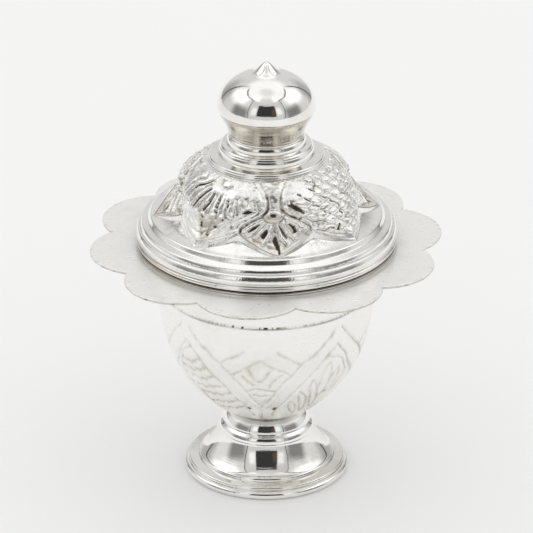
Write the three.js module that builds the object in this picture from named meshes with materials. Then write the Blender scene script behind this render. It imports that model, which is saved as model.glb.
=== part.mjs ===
// Footed kumkum box in silver: spun foot, raised bowl, scalloped flange, and a lift-off
// repousse lid with a stepped neck collar and an onion knob.
// Millimetres, +Z up, standing on z = 0, front towards -Y.

import * as THREE from 'three';

// Sheet and fits
const sheet = 0.6;
const flangeSheet = 0.4;
const solderGap = 0.05;
const slipClearance = 0.3;
const lidSeatGap = 0.1;

// Foot
const footRadius = 13.2;
const footRingHeight = 1.3;
const footRingWidth = 1.5;
const footLipInset = 0.75;
const footBorderWidth = 2.05;
const footRiser = 0.65;
const stemRadius = 6.9;
const footShellTop = 8.6;

// Bead between foot and bowl
const beadOverhang = 0.05;
const beadHeight = 1.45;
const beadShoulder = 1.35;

// Bowl: half an ellipse, cut flat underneath, with a straight wall above it
const bowlRadius = 17.05;
const bowlDepth = 21.6;
const bowlFlatCut = 0.65;
const bowlWallHeight = 8.5;
const neckRise = 2.8;
const grooveRise = 1.3;
const grooveWidth = 0.8;
const grooveDepth = 0.25;

// Flange with round lobes, and its reach past the bowl
const flangeReach = 10.95;
const flangeLobeRadius = 8.7;
const flangeLobes = 10;
const flangeTurn = -7.5;

// Mouth ring on the flange, bezel under the lid and guide inside it
const mouthRingInset = 0.15;
const mouthRingWidth = 1.4;
const mouthRingHeight = 0.5;
const bezelHeight = 0.8;
const guideHeadroom = 0.75;
const guideDrop = 0.35;

// Lid shell: stepped moulding, then the chased dome
const mouldingReach = 2.6;
const mouldingHeight = 3.7;
const domeHeight = 9.3;
const domeLedge = 0.25;
const motifPairs = 4;
const motifTurn = 5.85;
const motifRise = 0.5;
const flowerSink = 0.3;
const petalRise = 0.3;
const lobeStep = 0.2;
const lobeRise = 0.55;
const fanRibRise = 0.12;
const bossRise = 0.5;
const bossRadius = 1.7;

// Neck collar
const neckCollarRadius = 9.35;
const neckCollarTopRadius = 5.7;
const neckCollarHeight = 4.1;
const neckCollarWall = 1.8;

// Knob: cup, onion dome and its drawn-up tip
const cupHeight = 4.1;
const knobRadius = 7.8;
const knobRimHeight = 0.4;
const knobDomeHeight = 5.85;
const tipRadius = 2.7;
const tipHeight = 2.01;

// Facets round each turned piece and each flange lobe, and across half a flower and half a lobe
// of the lid
const turnSteps = 44;
const flangeLobeSteps = 10;
const flowerSteps = 5;
const lobeSteps = 6;

// Facets along the curves of each outline
const edgeSteps = 4;
const flareSteps = { outside: 6, inside: 3 };
const beadSteps = 4;
const bowlSteps = { outside: 9, inside: 4 };
const cupSteps = { outside: 3, inside: 2 };
const knobSteps = { outside: 7, inside: 3 };
const tipSteps = 4;
const domeInsideSteps = 3;

// Outlines as shares: [share of the radial run, share of the height]
const footLipShares = [[0, 0], [0, 0.5], [0.15, 1], [0.75, 1.15], [0.88, 1.8]];
const footFlareShares = { lowIn: 0.353, lowUp: 0.132, highIn: 0.682, highUp: 0.636 };
const beadShares = { lowIn: 0.15, lowUp: 0.48, highIn: 0.44, highUp: 0.97 };
const mouldingShares = [
  [0.83, 0], [0.96, 0.08], [1, 0.22], [0.95, 0.38], [0.846, 0.486],
  [0.742, 0.527], [0.71, 0.643], [0.635, 0.716], [0.29, 0.83], [0.155, 0.965],
];
const mouldingInsideShares = [[0.78, 0.22], [0.3, 0.6]];
const domeShares = { lowIn: 0.488, lowUp: 0.075, highIn: 0.607, highUp: 0.71 };
const neckCollarShares = [
  [0.96, 0], [1, 0.05], [0.973, 0.12], [0.877, 0.16], [0.71, 0.176], [0.56, 0.22],
  [0.493, 0.293], [0.479, 0.427], [0.41, 0.537], [0.3, 0.58], [0.19, 0.59],
  [0.118, 0.66], [0.108, 0.77], [0.05, 0.86], [0, 0.93], [0, 1],
];
const cupShares = { lowOut: 0.28, lowUp: 0.33, highOut: 0.62, highUp: 0.67 };
const tipShares = { lowIn: 0.5, lowUp: 0.17, highIn: 0.62, highUp: 0.8 };

// The chased zone runs from its zigzag lower edge (0 at the moulding, 1 at the neck collar)
const motifTipShare = 0.015;
const motifNotchShare = 0.28;
const motifFacetShare = 0.07;
const chasedLevelShares = [0, 0.15, 0.3, 0.44, 0.54, 0.64, 0.8];
const bossLevelShare = 0.53;
const flowerRimShare = 0.15;
const petalTopShare = 0.45;
const flowerFadeShares = { end: 0.8, run: 0.35 };
const flowerEdgeShares = { neck: 0.15, spread: 0.35, top: 0.75 };
const lobeStartShare = 0.04;
const lobeWindowShares = { start: 0.1, run: 0.9 };
const topFadeShare = 0.45;

// Levels and radii that follow from the sizes above
const beadRadius = stemRadius + beadOverhang;
const bowlFloor = footShellTop + beadHeight;
const bowlShoulder = bowlFloor - bowlFlatCut + bowlDepth;
const grooveLevel = bowlShoulder + grooveRise;
const flangeTop = bowlShoulder + bowlWallHeight;
const flangeRadius = bowlRadius + flangeReach;
const neckTop = flangeTop + neckRise;
const guideBore = bowlRadius + slipClearance;
const guideRadius = guideBore + sheet;
const domeFootRadius = guideRadius + solderGap;
const domeTopRadius = neckCollarRadius + domeLedge;
const bezelRadius = domeFootRadius + mouldingReach;
const mouthRingRadius = bezelRadius - mouthRingInset;
const mouthRingTop = flangeTop + mouthRingHeight;
const bezelBase = mouthRingTop + lidSeatGap;
const lidShellBase = bezelBase + bezelHeight;
const domeBase = lidShellBase + mouldingHeight;
const lidTop = domeBase + domeHeight;
const neckCollarTop = lidTop + neckCollarHeight;
const neckCollarBore = neckCollarTopRadius - neckCollarWall;
const knobBase = neckCollarTop + cupHeight;
const cupLipRadius = knobRadius - knobRimHeight / 2;

const fullTurn = 2 * Math.PI;
const degree = fullTurn / 360;
const motifPitch = fullTurn / motifPairs / 2;

function silver(name, color, roughness) {
  const material = new THREE.MeshStandardMaterial({ color, roughness, metalness: 1 });
  material.name = name;
  return material;
}

const polished = silver('polished_silver', 0xe9e7e2, 0.12);
const satin = silver('satin_silver', 0xdedbd4, 0.3);
const chased = silver('chased_silver', 0xe2dfd8, 0.22);

// A point of a profile: distance from the axis, height.
const at = (radius, height) => new THREE.Vector2(radius, height);

// Points round part of an ellipse, angles in degrees up from the outward radius.
function archPoints(centre, reach, rise, fromAngle, toAngle, steps) {
  return Array.from({ length: steps + 1 }, (_, i) => {
    const angle = (fromAngle + ((toAngle - fromAngle) * i) / steps) * degree;
    return at(centre.x + reach * Math.cos(angle), centre.y + rise * Math.sin(angle));
  });
}

// A profile moved inwards by the sheet's thickness and turned back, from its end to its start.
function insideOf(profile) {
  const inside = profile.map((point, i) => {
    const before = profile[Math.max(i - 1, 0)];
    const after = profile[Math.min(i + 1, profile.length - 1)];
    const along = after.clone().sub(before).normalize();
    return at(point.x - along.y * sheet, point.y + along.x * sheet);
  });
  return inside.reverse();
}

// Body turned about the vertical axis. Its profile runs up the outside, then down the inside,
// or from axis to axis.
function turned(profile) {
  const outline = profile[0].x === 0 ? profile : [...profile, profile[0].clone()];
  return new THREE.LatheGeometry(outline, turnSteps).rotateX(Math.PI / 2);
}

// Flat ring with a rounded outer edge.
function roundEdgedRing(bore, radius, base, height) {
  const edge = height / 2;
  const rounded = archPoints(at(radius - edge, base + edge), edge, edge, -90, 90, edgeSteps);
  return turned([at(bore, base), ...rounded, at(bore, base + height)]);
}

// Foot: a trumpet of sheet whose lip lies on the base ring.
function footShell() {
  const lipRadius = footRadius - footLipInset;
  const flareRadius = lipRadius - footBorderWidth;
  const flareBase = footRingHeight + sheet + footRiser;
  const run = flareRadius - stemRadius;
  const rise = footShellTop - flareBase;
  const shares = footFlareShares;
  const lip = footLipShares.map(([inShare, upShare]) => (
    at(lipRadius - footBorderWidth * inShare, footRingHeight + sheet * upShare)));
  const flare = new THREE.CubicBezierCurve(
    at(flareRadius, flareBase),
    at(flareRadius - run * shares.lowIn, flareBase + rise * shares.lowUp),
    at(flareRadius - run * shares.highIn, flareBase + rise * shares.highUp),
    at(stemRadius, footShellTop),
  );
  const inside = insideOf(flare.getPoints(flareSteps.inside)).slice(1);
  return turned([
    at(flareRadius, footRingHeight),
    ...lip,
    ...flare.getPoints(flareSteps.outside),
    at(stemRadius - sheet, footShellTop),
    ...inside,
  ]);
}

// Turned bead that joins the stem to the flat under the bowl.
function footBead() {
  const shares = beadShares;
  const side = new THREE.CubicBezierCurve(
    at(beadRadius, footShellTop),
    at(beadRadius - beadShoulder * shares.lowIn, footShellTop + beadHeight * shares.lowUp),
    at(beadRadius - beadShoulder * shares.highIn, footShellTop + beadHeight * shares.highUp),
    at(beadRadius - beadShoulder, bowlFloor),
  );
  return turned([at(0, footShellTop), ...side.getPoints(beadSteps), at(0, bowlFloor)]);
}

// Bowl: half an ellipse with a flat foot, a scribed groove and a straight neck.
function bowlShell() {
  const centre = at(0, bowlShoulder);
  const lowest = (depth, floor) => -Math.asin((bowlShoulder - floor) / depth) / degree;
  const floorAngle = lowest(bowlDepth, bowlFloor);
  const outside = archPoints(centre, bowlRadius, bowlDepth, floorAngle, 0, bowlSteps.outside);
  const insideReach = bowlRadius - sheet;
  const insideDepth = bowlDepth - sheet;
  const insideFloor = bowlFloor + sheet;
  const insideAngle = lowest(insideDepth, insideFloor);
  const inside = archPoints(centre, insideReach, insideDepth, 0, insideAngle, bowlSteps.inside);
  return turned([
    at(0, bowlFloor),
    ...outside,
    at(bowlRadius, grooveLevel - grooveWidth / 2),
    at(bowlRadius - grooveDepth, grooveLevel),
    at(bowlRadius, grooveLevel + grooveWidth / 2),
    at(bowlRadius, neckTop),
    at(bowlRadius - sheet, neckTop),
    ...inside,
    at(0, insideFloor),
  ]);
}

// Flange: flat sheet cut to a ring of round lobes, with a hole that fits the bowl's neck.
function flangePlate() {
  const lobeCentre = flangeRadius - flangeLobeRadius;
  const halfPitch = fullTurn / flangeLobes / 2;
  const offset = lobeCentre * Math.sin(halfPitch);
  const cuspRadius = lobeCentre * Math.cos(halfPitch) + Math.sqrt(flangeLobeRadius ** 2 - offset ** 2);
  const cuspSide = cuspRadius * Math.sin(halfPitch);
  const halfSweep = Math.atan2(cuspSide, cuspRadius * Math.cos(halfPitch) - lobeCentre);
  const outline = new THREE.Shape();
  for (let lobe = 0; lobe < flangeLobes; lobe += 1) {
    const middle = flangeTurn * degree - fullTurn / 4 + 2 * halfPitch * lobe;
    for (let step = 0; step < flangeLobeSteps; step += 1) {
      const angle = middle - halfSweep + (2 * halfSweep * step) / flangeLobeSteps;
      const x = lobeCentre * Math.cos(middle) + flangeLobeRadius * Math.cos(angle);
      const y = lobeCentre * Math.sin(middle) + flangeLobeRadius * Math.sin(angle);
      if (lobe + step === 0) outline.moveTo(x, y);
      else outline.lineTo(x, y);
    }
  }
  outline.closePath();
  const holeRadius = bowlRadius + solderGap;
  const hole = Array.from({ length: turnSteps }, (_, i) => {
    const angle = (-fullTurn * i) / turnSteps;
    return new THREE.Vector2(holeRadius * Math.cos(angle), holeRadius * Math.sin(angle));
  });
  outline.holes.push(new THREE.Path(hole));
  const plate = new THREE.ExtrudeGeometry(outline, { depth: flangeSheet, bevelEnabled: false });
  return plate.translate(0, 0, flangeTop - flangeSheet);
}

// Guide: a short tube inside the lid that slips over the bowl's neck.
function lidGuide() {
  const base = bezelBase - guideDrop;
  const top = domeBase - sheet - guideHeadroom;
  return turned([at(guideBore, base), at(guideRadius, base), at(guideRadius, top), at(guideBore, top)]);
}

// Closed surface through rings of points, from a pole to a pole, seen from outside.
function skin(firstPole, rings, lastPole) {
  const count = rings[0].length;
  const points = [firstPole, ...rings.flat(), lastPole];
  const faces = [];
  const index = (ring, i) => 1 + ring * count + (i % count);
  for (let i = 0; i < count; i += 1) {
    faces.push(0, index(0, i + 1), index(0, i));
    for (let ring = 0; ring + 1 < rings.length; ring += 1) {
      const [a, b] = [index(ring, i), index(ring, i + 1)];
      const [c, d] = [index(ring + 1, i + 1), index(ring + 1, i)];
      faces.push(a, b, d, c, d, b);
    }
    faces.push(index(rings.length - 1, i), index(rings.length - 1, i + 1), points.length - 1);
  }
  const geometry = new THREE.BufferGeometry().setFromPoints(points);
  geometry.setIndex(faces);
  geometry.computeVertexNormals();
  return geometry;
}

// The dome's ground, from the moulding up to the neck collar.
function domeCurve() {
  const run = domeFootRadius - domeTopRadius;
  const shares = domeShares;
  return new THREE.CubicBezierCurve(
    at(domeFootRadius, domeBase),
    at(domeFootRadius - run * shares.lowIn, domeBase + domeHeight * shares.lowUp),
    at(domeFootRadius - run * shares.highIn, domeBase + domeHeight * shares.highUp),
    at(domeTopRadius, lidTop),
  );
}

// How far a flower reaches towards the lobe beside it, at a level of the chased zone.
function flowerEdgeShare(levelShare) {
  const narrowing = Math.min(1, levelShare / flowerEdgeShares.top);
  return flowerEdgeShares.neck + flowerEdgeShares.spread * Math.cos((Math.PI * narrowing) / 2) ** 2;
}

// Where a column lies between the nearest flower's middle (0) and the next lobe's middle (1).
// One column follows the flower's edge at every level, so that the step to the lobe is sharp.
function lobeShareOf(step, levelShare) {
  const edge = flowerEdgeShare(levelShare);
  if (step <= flowerSteps) return (edge * step) / flowerSteps;
  const start = edge + lobeStartShare;
  return start + ((1 - start) * (step - flowerSteps - 1)) / lobeSteps;
}

// Relief of a flower over the ground: sunk inside its rim, with petals and a boss.
function flowerHeight(step, levelShare, radius) {
  const sink = flowerSink * Math.min(1, levelShare / flowerRimShare);
  const fade = Math.min(1, Math.max(0, (flowerFadeShares.end - levelShare) / flowerFadeShares.run));
  const reach = Math.min(1, levelShare / petalTopShare);
  const petal = step % 2 === 1 ? petalRise * Math.sin(Math.PI * reach) : 0;
  const across = lobeShareOf(step, levelShare) * motifPitch * radius;
  const along = (levelShare - bossLevelShare) * domeHeight;
  const boss = Math.max(0, 1 - (across ** 2 + along ** 2) / bossRadius ** 2);
  return (motifRise - sink) * fade + petal + bossRise * Math.sqrt(boss);
}

// Relief of a bulging lobe over the ground; every other lobe is ribbed like a fan.
function lobeHeight(step, levelShare, ribbed) {
  const inset = 1 - (step - flowerSteps) / (lobeSteps + 1);
  const window = lobeWindowShares.start + lobeWindowShares.run * levelShare;
  const swell = Math.sqrt(1 - inset ** 2) * Math.sin(Math.PI * window);
  const fade = Math.min(1, (1 - levelShare) / topFadeShare);
  const rib = ribbed && step % 2 === 0 ? fanRibRise * Math.sin(Math.PI * window) : 0;
  return (motifRise + lobeStep) * fade + lobeRise * swell + rib;
}

// Lid: sheet with a turned moulding and a dome raised into flowers and lobes. The rows of the
// chased zone follow its zigzag lower edge, whose facet stands up from the plain slope.
function lidShell() {
  const halfSteps = flowerSteps + lobeSteps + 1;
  const columns = 2 * halfSteps * motifPairs;
  const dome = domeCurve();
  const mouldingPoint = ([outShare, upShare]) => (
    at(domeFootRadius + mouldingReach * outShare, lidShellBase + mouldingHeight * upShare));
  const place = (column, levelShare, point) => {
    const flower = Math.round(column / (2 * halfSteps));
    const step = column - flower * 2 * halfSteps;
    const turn = Math.sign(step) * lobeShareOf(Math.abs(step), levelShare);
    const angle = motifTurn * degree + motifPitch * (2 * flower + turn);
    return new THREE.Vector3(point.x * Math.sin(angle), -point.x * Math.cos(angle), point.y);
  };
  const ring = (pointOf, levelShare = 0) => Array.from({ length: columns }, (_, column) => {
    const fromFlower = column % (2 * halfSteps);
    const step = Math.min(fromFlower, 2 * halfSteps - fromFlower);
    const ribbed = Math.floor(column / (2 * halfSteps)) % 2 === 1;
    return place(column, levelShare, pointOf(step, ribbed));
  });
  const zigzagOf = (step) => {
    const lobeShare = lobeShareOf(step, 0);
    const fromTip = Math.min(lobeShare, 1 - lobeShare) * 2;
    return motifTipShare + (motifNotchShare - motifTipShare) * fromTip;
  };
  const raised = (share, lift) => {
    const along = dome.getTangent(share);
    const ground = dome.getPoint(share);
    return at(ground.x + along.y * lift, ground.y - along.x * lift);
  };
  const chasedRing = (levelShare) => ring((step, ribbed) => {
    const start = zigzagOf(step) + motifFacetShare;
    const share = start + (1 - start) * levelShare;
    const flower = step <= flowerSteps;
    const radius = dome.getPoint(share).x;
    const lift = flower ? flowerHeight(step, levelShare, radius) : lobeHeight(step, levelShare, ribbed);
    return raised(share, lift);
  }, levelShare);
  const inside = insideOf(dome.getPoints(domeInsideSteps));
  const moulding = mouldingShares.map(mouldingPoint);
  const rim = at(moulding[0].x - sheet, lidShellBase);
  return skin(
    new THREE.Vector3(0, 0, lidTop - sheet),
    [
      ...inside.map((point) => ring(() => point)),
      ...mouldingInsideShares.map(mouldingPoint).reverse().map((point) => ring(() => point)),
      ring(() => rim),
      ...moulding.map((point) => ring(() => point)),
      ring((step) => raised(zigzagOf(step) / 2, 0)),
      ring((step) => raised(zigzagOf(step), 0)),
      ...chasedLevelShares.map(chasedRing),
      ring(() => dome.getPoint(1), 1),
    ],
    new THREE.Vector3(0, 0, lidTop),
  );
}

// Collar with three steps, each with a rounded shoulder, bored through, under the knob.
function neckCollar() {
  const run = neckCollarRadius - neckCollarTopRadius;
  const outside = neckCollarShares.map(([outShare, upShare]) => (
    at(neckCollarTopRadius + run * outShare, lidTop + neckCollarHeight * upShare)));
  return turned([at(neckCollarBore, lidTop), ...outside, at(neckCollarBore, neckCollarTop)]);
}

// Lower half of the knob: a cup that widens upwards.
function knobCup() {
  const flare = cupLipRadius - neckCollarTopRadius;
  const shares = cupShares;
  const wall = new THREE.CubicBezierCurve(
    at(neckCollarTopRadius, neckCollarTop),
    at(neckCollarTopRadius + flare * shares.lowOut, neckCollarTop + cupHeight * shares.lowUp),
    at(neckCollarTopRadius + flare * shares.highOut, neckCollarTop + cupHeight * shares.highUp),
    at(cupLipRadius, knobBase),
  );
  const floor = neckCollarTop + sheet;
  const inside = insideOf(wall.getPoints(cupSteps.inside)).slice(1, -1);
  return turned([
    at(0, neckCollarTop),
    ...wall.getPoints(cupSteps.outside),
    at(cupLipRadius - sheet, knobBase),
    ...inside,
    at(neckCollarTopRadius - sheet, floor),
    at(0, floor),
  ]);
}

// Upper half of the knob: an onion dome with a drawn-up tip, open underneath over the cup.
function knobDome() {
  const equator = knobBase + knobRimHeight;
  const crownAngle = Math.acos(tipRadius / knobRadius) / degree;
  const outside = archPoints(at(0, equator), knobRadius, knobDomeHeight, 0, crownAngle, knobSteps.outside);
  const crown = outside[outside.length - 1];
  const shares = tipShares;
  const tip = new THREE.CubicBezierCurve(
    crown.clone(),
    at(tipRadius * (1 - shares.lowIn), crown.y + tipHeight * shares.lowUp),
    at(tipRadius * (1 - shares.highIn), crown.y + tipHeight * shares.highUp),
    at(0, crown.y + tipHeight),
  );
  const insideReach = knobRadius - sheet;
  const insideRise = knobDomeHeight - sheet;
  const inside = archPoints(at(0, equator), insideReach, insideRise, 90, 0, knobSteps.inside);
  inside[0].x = 0;
  return turned([
    ...inside,
    at(cupLipRadius - sheet, knobBase),
    at(cupLipRadius, knobBase),
    at(knobRadius, knobBase + knobRimHeight / 2),
    ...outside,
    ...tip.getPoints(tipSteps).slice(1),
  ]);
}

function piece(name, geometry, material) {
  const mesh = new THREE.Mesh(geometry, material);
  mesh.name = name;
  return mesh;
}

const footRingBore = footRadius - footRingWidth;
const mouthRingBore = mouthRingRadius - mouthRingWidth;
const bezelBore = guideRadius + solderGap;

const base = new THREE.Group();
base.add(
  piece('foot_base_ring', roundEdgedRing(footRingBore, footRadius, 0, footRingHeight), polished),
  piece('foot_shell', footShell(), polished),
  piece('foot_bead', footBead(), polished),
  piece('bowl_shell', bowlShell(), satin),
  piece('flange_plate', flangePlate(), satin),
  piece('mouth_ring', roundEdgedRing(mouthRingBore, mouthRingRadius, flangeTop, mouthRingHeight), polished),
);

const lid = new THREE.Group();
lid.add(
  piece('lid_bezel', roundEdgedRing(bezelBore, bezelRadius, bezelBase, bezelHeight), polished),
  piece('lid_guide', lidGuide(), polished),
  piece('lid_shell', lidShell(), chased),
  piece('neck_collar', neckCollar(), polished),
  piece('knob_cup', knobCup(), polished),
  piece('knob_dome', knobDome(), polished),
);

const box = new THREE.Group();
box.add(base, lid);

export default box;
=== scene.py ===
# Footed silver kumkum box: turned foot and knob, chased bowl, scalloped flange, repousse lid.
import math

import bpy
import numpy as np
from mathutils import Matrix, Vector


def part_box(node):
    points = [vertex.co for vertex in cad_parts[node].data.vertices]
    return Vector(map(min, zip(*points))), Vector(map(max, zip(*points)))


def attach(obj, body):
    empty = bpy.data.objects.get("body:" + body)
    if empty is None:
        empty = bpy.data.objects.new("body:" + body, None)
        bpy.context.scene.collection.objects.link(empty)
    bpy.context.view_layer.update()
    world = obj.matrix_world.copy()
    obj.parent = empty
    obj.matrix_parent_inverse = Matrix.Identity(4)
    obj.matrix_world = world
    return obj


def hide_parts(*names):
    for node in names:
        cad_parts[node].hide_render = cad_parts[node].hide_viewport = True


bl_info = {
    "name": "Kumkum box",
    "version": (1, 0, 0),
    "blender": (4, 5, 0),
    "location": "View3D > Sidebar > Kumkum box",
    "description": "Dresses the packed kumkum box in chased and polished silver",
    "category": "Object",
}

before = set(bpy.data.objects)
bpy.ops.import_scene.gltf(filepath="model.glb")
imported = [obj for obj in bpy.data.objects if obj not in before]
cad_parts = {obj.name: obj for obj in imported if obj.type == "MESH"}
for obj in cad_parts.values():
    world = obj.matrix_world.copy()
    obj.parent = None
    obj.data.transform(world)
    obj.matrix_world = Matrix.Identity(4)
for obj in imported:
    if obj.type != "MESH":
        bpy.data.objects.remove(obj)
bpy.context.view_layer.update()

MM = 0.001
SLIP = 0.05  # gap between round faces of two solids


def radius_of(node):
    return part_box(node)[1][0] / MM


def base_of(node):
    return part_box(node)[0][2] / MM


def top_of(node):
    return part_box(node)[1][2] / MM


def measures(node):
    """Radius, base and top of a solid, in millimetres."""
    return radius_of(node), base_of(node), top_of(node)


# Turned faces from the bottom up: length of each run, and how many degrees the face looks up at
# its start and at its end
FLARE_RUNS = [
    (0.72, 79, 86), (0.45, 86, 83), (0.3, 84, 12), (0.14, 10, 10), (0.16, 12, 26), (0.2, 26, 48),
    (0.12, 48, 66),
    (0.45, 63, 51), (0.75, 50, 43), (0.5, 42, 38), (0.12, 36, 42), (0.1, 42, 36), (0.6, 39, 37),
    (2.75, 37, 18.7), (0.35, 17, 15), (0.08, 15, 30), (0.08, 30, 14), (0.25, 14, 13), (0.4, 14, 26),
    (0.4, 28, 44), (0.4, 46, 46), (0.3, 46, 18), (0.1, 16, 6),
]
BEAD_RUNS = [(0.2, 4, 18), (1.06, 18.7, 37), (0.26, 37, 82), (0.5, 80, 70)]
MOULDING_RUNS = [
    (0.85, -65, 0), (0.55, 0, 16), (0.66, 19, 35), (0.16, 37, 72), (0.16, 72, 66), (0.1, 66, 12),
    (0.3, 12, 14), (0.1, 14, 20), (0.34, 20, 35), (0.14, 36, 66), (0.85, 66, 62), (0.2, 62, 30),
    (0.62, 30, 27), (0.35, 27, 72),
]
COLLAR_RUNS = [
    (0.14, -30, 0), (0.1, 0, 18), (0.24, 18, 38), (0.08, 62, 70), (0.1, 6, 10), (0.24, 18, 40),
    (0.2, 40, 72), (1.2, 74, 68), (0.36, 70, 2), (0.34, 0, 10), (0.3, 10, 18.7), (0.34, 18.7, 27),
    (0.07, 52, 58), (0.06, 8, 12), (0.36, 28, 38), (0.2, 38, 72), (0.58, 76, 70), (0.28, 72, 2),
    (0.24, 0, 8), (0.34, 8, 18.7), (0.54, 18.7, 38), (0.16, 38, 82), (0.12, 80, 4), (0.22, 0, 0),
]
# Outlines as shares: (share of the radial run, share of the height)
FOOT_FLARE_SHARES = [(0, 0), (0.353, 0.132), (0.682, 0.636), (1, 1)]
DOME_SHARES = [(0, 0), (0.488, 0.075), (0.607, 0.71), (1, 1)]
CUP_SHARES = [(0, 0), (0.12, 0.1), (0.24, 0.3), (0.41, 0.51), (0.56, 0.62), (0.9, 0.9), (1, 1)]
TIP_SHARES = [(0, 0), (0.5, 0.17), (0.62, 0.8), (1, 1)]

BEVEL = 0.1
WIRE_CROWN = 84  # degrees up to which a ring of wire is round
COLLAR_NECK = 5.7  # radius where the collar meets the knob's cup
MOULDING_HEIGHT = 3.7
BOWL_SHOULDER = 31.0  # level where the bowl's round side turns into its straight band
BOWL_DEPTH = 21.6
BAND_LEVEL = 36.0
GROOVE_RISE = 1.3  # of the scribed groove over the shoulder
# The groove's profile: (how deep, how far above its middle)
GROOVE_PROFILE = [
    (0, -0.5), (0, -0.28), (0.12, -0.12), (0.17, 0), (0.12, 0.12), (0, 0.28), (0, 0.6),
]
FLANGE_SHARES = [0.2, 0.4, 0.6, 0.8, 0.93]  # rows between the flange's hole and its edge

REPEAT = 90.0  # degrees from one flower of the lid to the next
# Lid motifs, over half a turn: a flower in the middle, a fan lobe before it, a scale lobe after.
# Levels run from 0 at the moulding to 1 at the collar.
FLOWER_EDGE_LEVELS = [
    0.3, 0.36, 0.444, 0.512, 0.549, 0.589, 0.63, 0.666, 0.747, 0.806, 0.859, 0.936, 1.0,
]
FLOWER_EDGE_SHARES = [
    0.52, 0.51, 0.475, 0.365, 0.285, 0.2, 0.14, 0.112, 0.112, 0.13, 0.16, 0.225, 0.28,
]
ZIGZAG_LEVELS = {"tip": 0.012, "notch": 0.275, "facet": 0.068}
# How much nearer a lobe's slanting edge is than its distance round the dome
SLANT_LEVELS = [0.4, 0.5, 0.62, 0.72, 1.0]
SLANT_SHARES = [0.75, 0.62, 0.75, 0.97, 0.9]
SLOPE_ROWS = 6
# Rows of the facet under the motifs: shares of its level, of its height and of its tarnish
FACET_SHARES = [(0.0, 0.0, 1.2), (0.15, 0.16, 0.5), (0.5, 0.52, 0.2), (0.85, 0.88, 0.0)]
BOSS_CENTRE, BOSS_REACH = (-0.25, 7.2), (1.5, 0.95)
BOSS_DOT = [(-0.5, 7.38, 0.3), (-0.15, 7.36, 0.33)]
PETALS_END = 6.3  # height above the moulding
# How dark the tarnish is in each kind of recess of the flower, of the fan and of the scales
FLOWER_DARK = {
    "ground": 0.17, "boss": 0.26, "vein": 0.5, "outline": 0.7, "mark": 0.55, "rim": 0.9,
}
FAN_DARK = {"groove": 0.5, "broad": 0.95, "wedge": 0.26, "between": 0.14}
SCALE_DARK = {"gap": 0.5, "cut": 0.7}
# How far the punches worked each zone of the lid
WORKED = {"edge": 0.2, "slope": 0.35, "facet": 0.7, "inside": 0.5}

# Strokes of the lid's chasing: (across from the motif's middle, up from the moulding, half width)
FLOWER_RIDGES = [
    [(-1.5, 6.95, 0.22), (-3.2, 6.15, 0.36), (-5.3, 4.75, 0.2)],
    [(-1.7, 6.25, 0.15), (-2.9, 5.15, 0.2), (-4.5, 4.2, 0.16)],
    [(-1.0, 6.15, 0.15), (-2.15, 5.0, 0.22), (-3.4, 3.75, 0.16)],
    [(-0.55, 6.1, 0.15), (-0.95, 4.6, 0.3), (-2.2, 2.8, 0.2)],
    [(0.1, 6.1, 0.15), (0.62, 4.2, 0.28), (1.7, 2.6, 0.2)],
    [(0.95, 6.3, 0.15), (1.95, 4.7, 0.26), (2.9, 3.4, 0.18)],
    [(1.9, 6.5, 0.12), (3.3, 5.3, 0.24), (3.9, 4.1, 0.18)],
    [(1.4, 7.4, 0.2), (3.4, 6.25, 0.34), (5.2, 4.85, 0.22)],
]
FLOWER_PITS = [
    [(-2.5, 6.0, 0.07), (-3.4, 5.4, 0.17), (-4.25, 4.75, 0.08)],
    [(-1.4, 5.25, 0.08), (-1.65, 4.6, 0.28), (-2.05, 4.15, 0.34)],
    [(-0.15, 4.2, 0.12), (-0.25, 3.4, 0.42), (0.05, 2.6, 0.33), (0.28, 1.7, 0.2),
     (0.25, 0.9, 0.07)],
    [(0.5, 5.8, 0.07), (1.1, 4.7, 0.16), (1.65, 3.8, 0.09)],
    [(2.1, 5.95, 0.08), (2.75, 5.4, 0.22), (2.97, 4.7, 0.22)],
]
FLOWER_VEINS = [
    [(-2.3, 5.65, 0.07), (-3.9, 3.95, 0.1)], [(1.55, 5.95, 0.08), (2.6, 4.6, 0.13)],
    [(0.15, 2.2, 0.3), (-1.3, 2.3, 0.28)], [(1.1, 2.1, 0.24), (1.5, 2.9, 0.12)],
    [(4.0, 4.5, 0.2), (5.0, 3.8, 0.26)], [(-3.6, 3.6, 0.16), (-2.4, 3.0, 0.2)],
]
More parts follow.
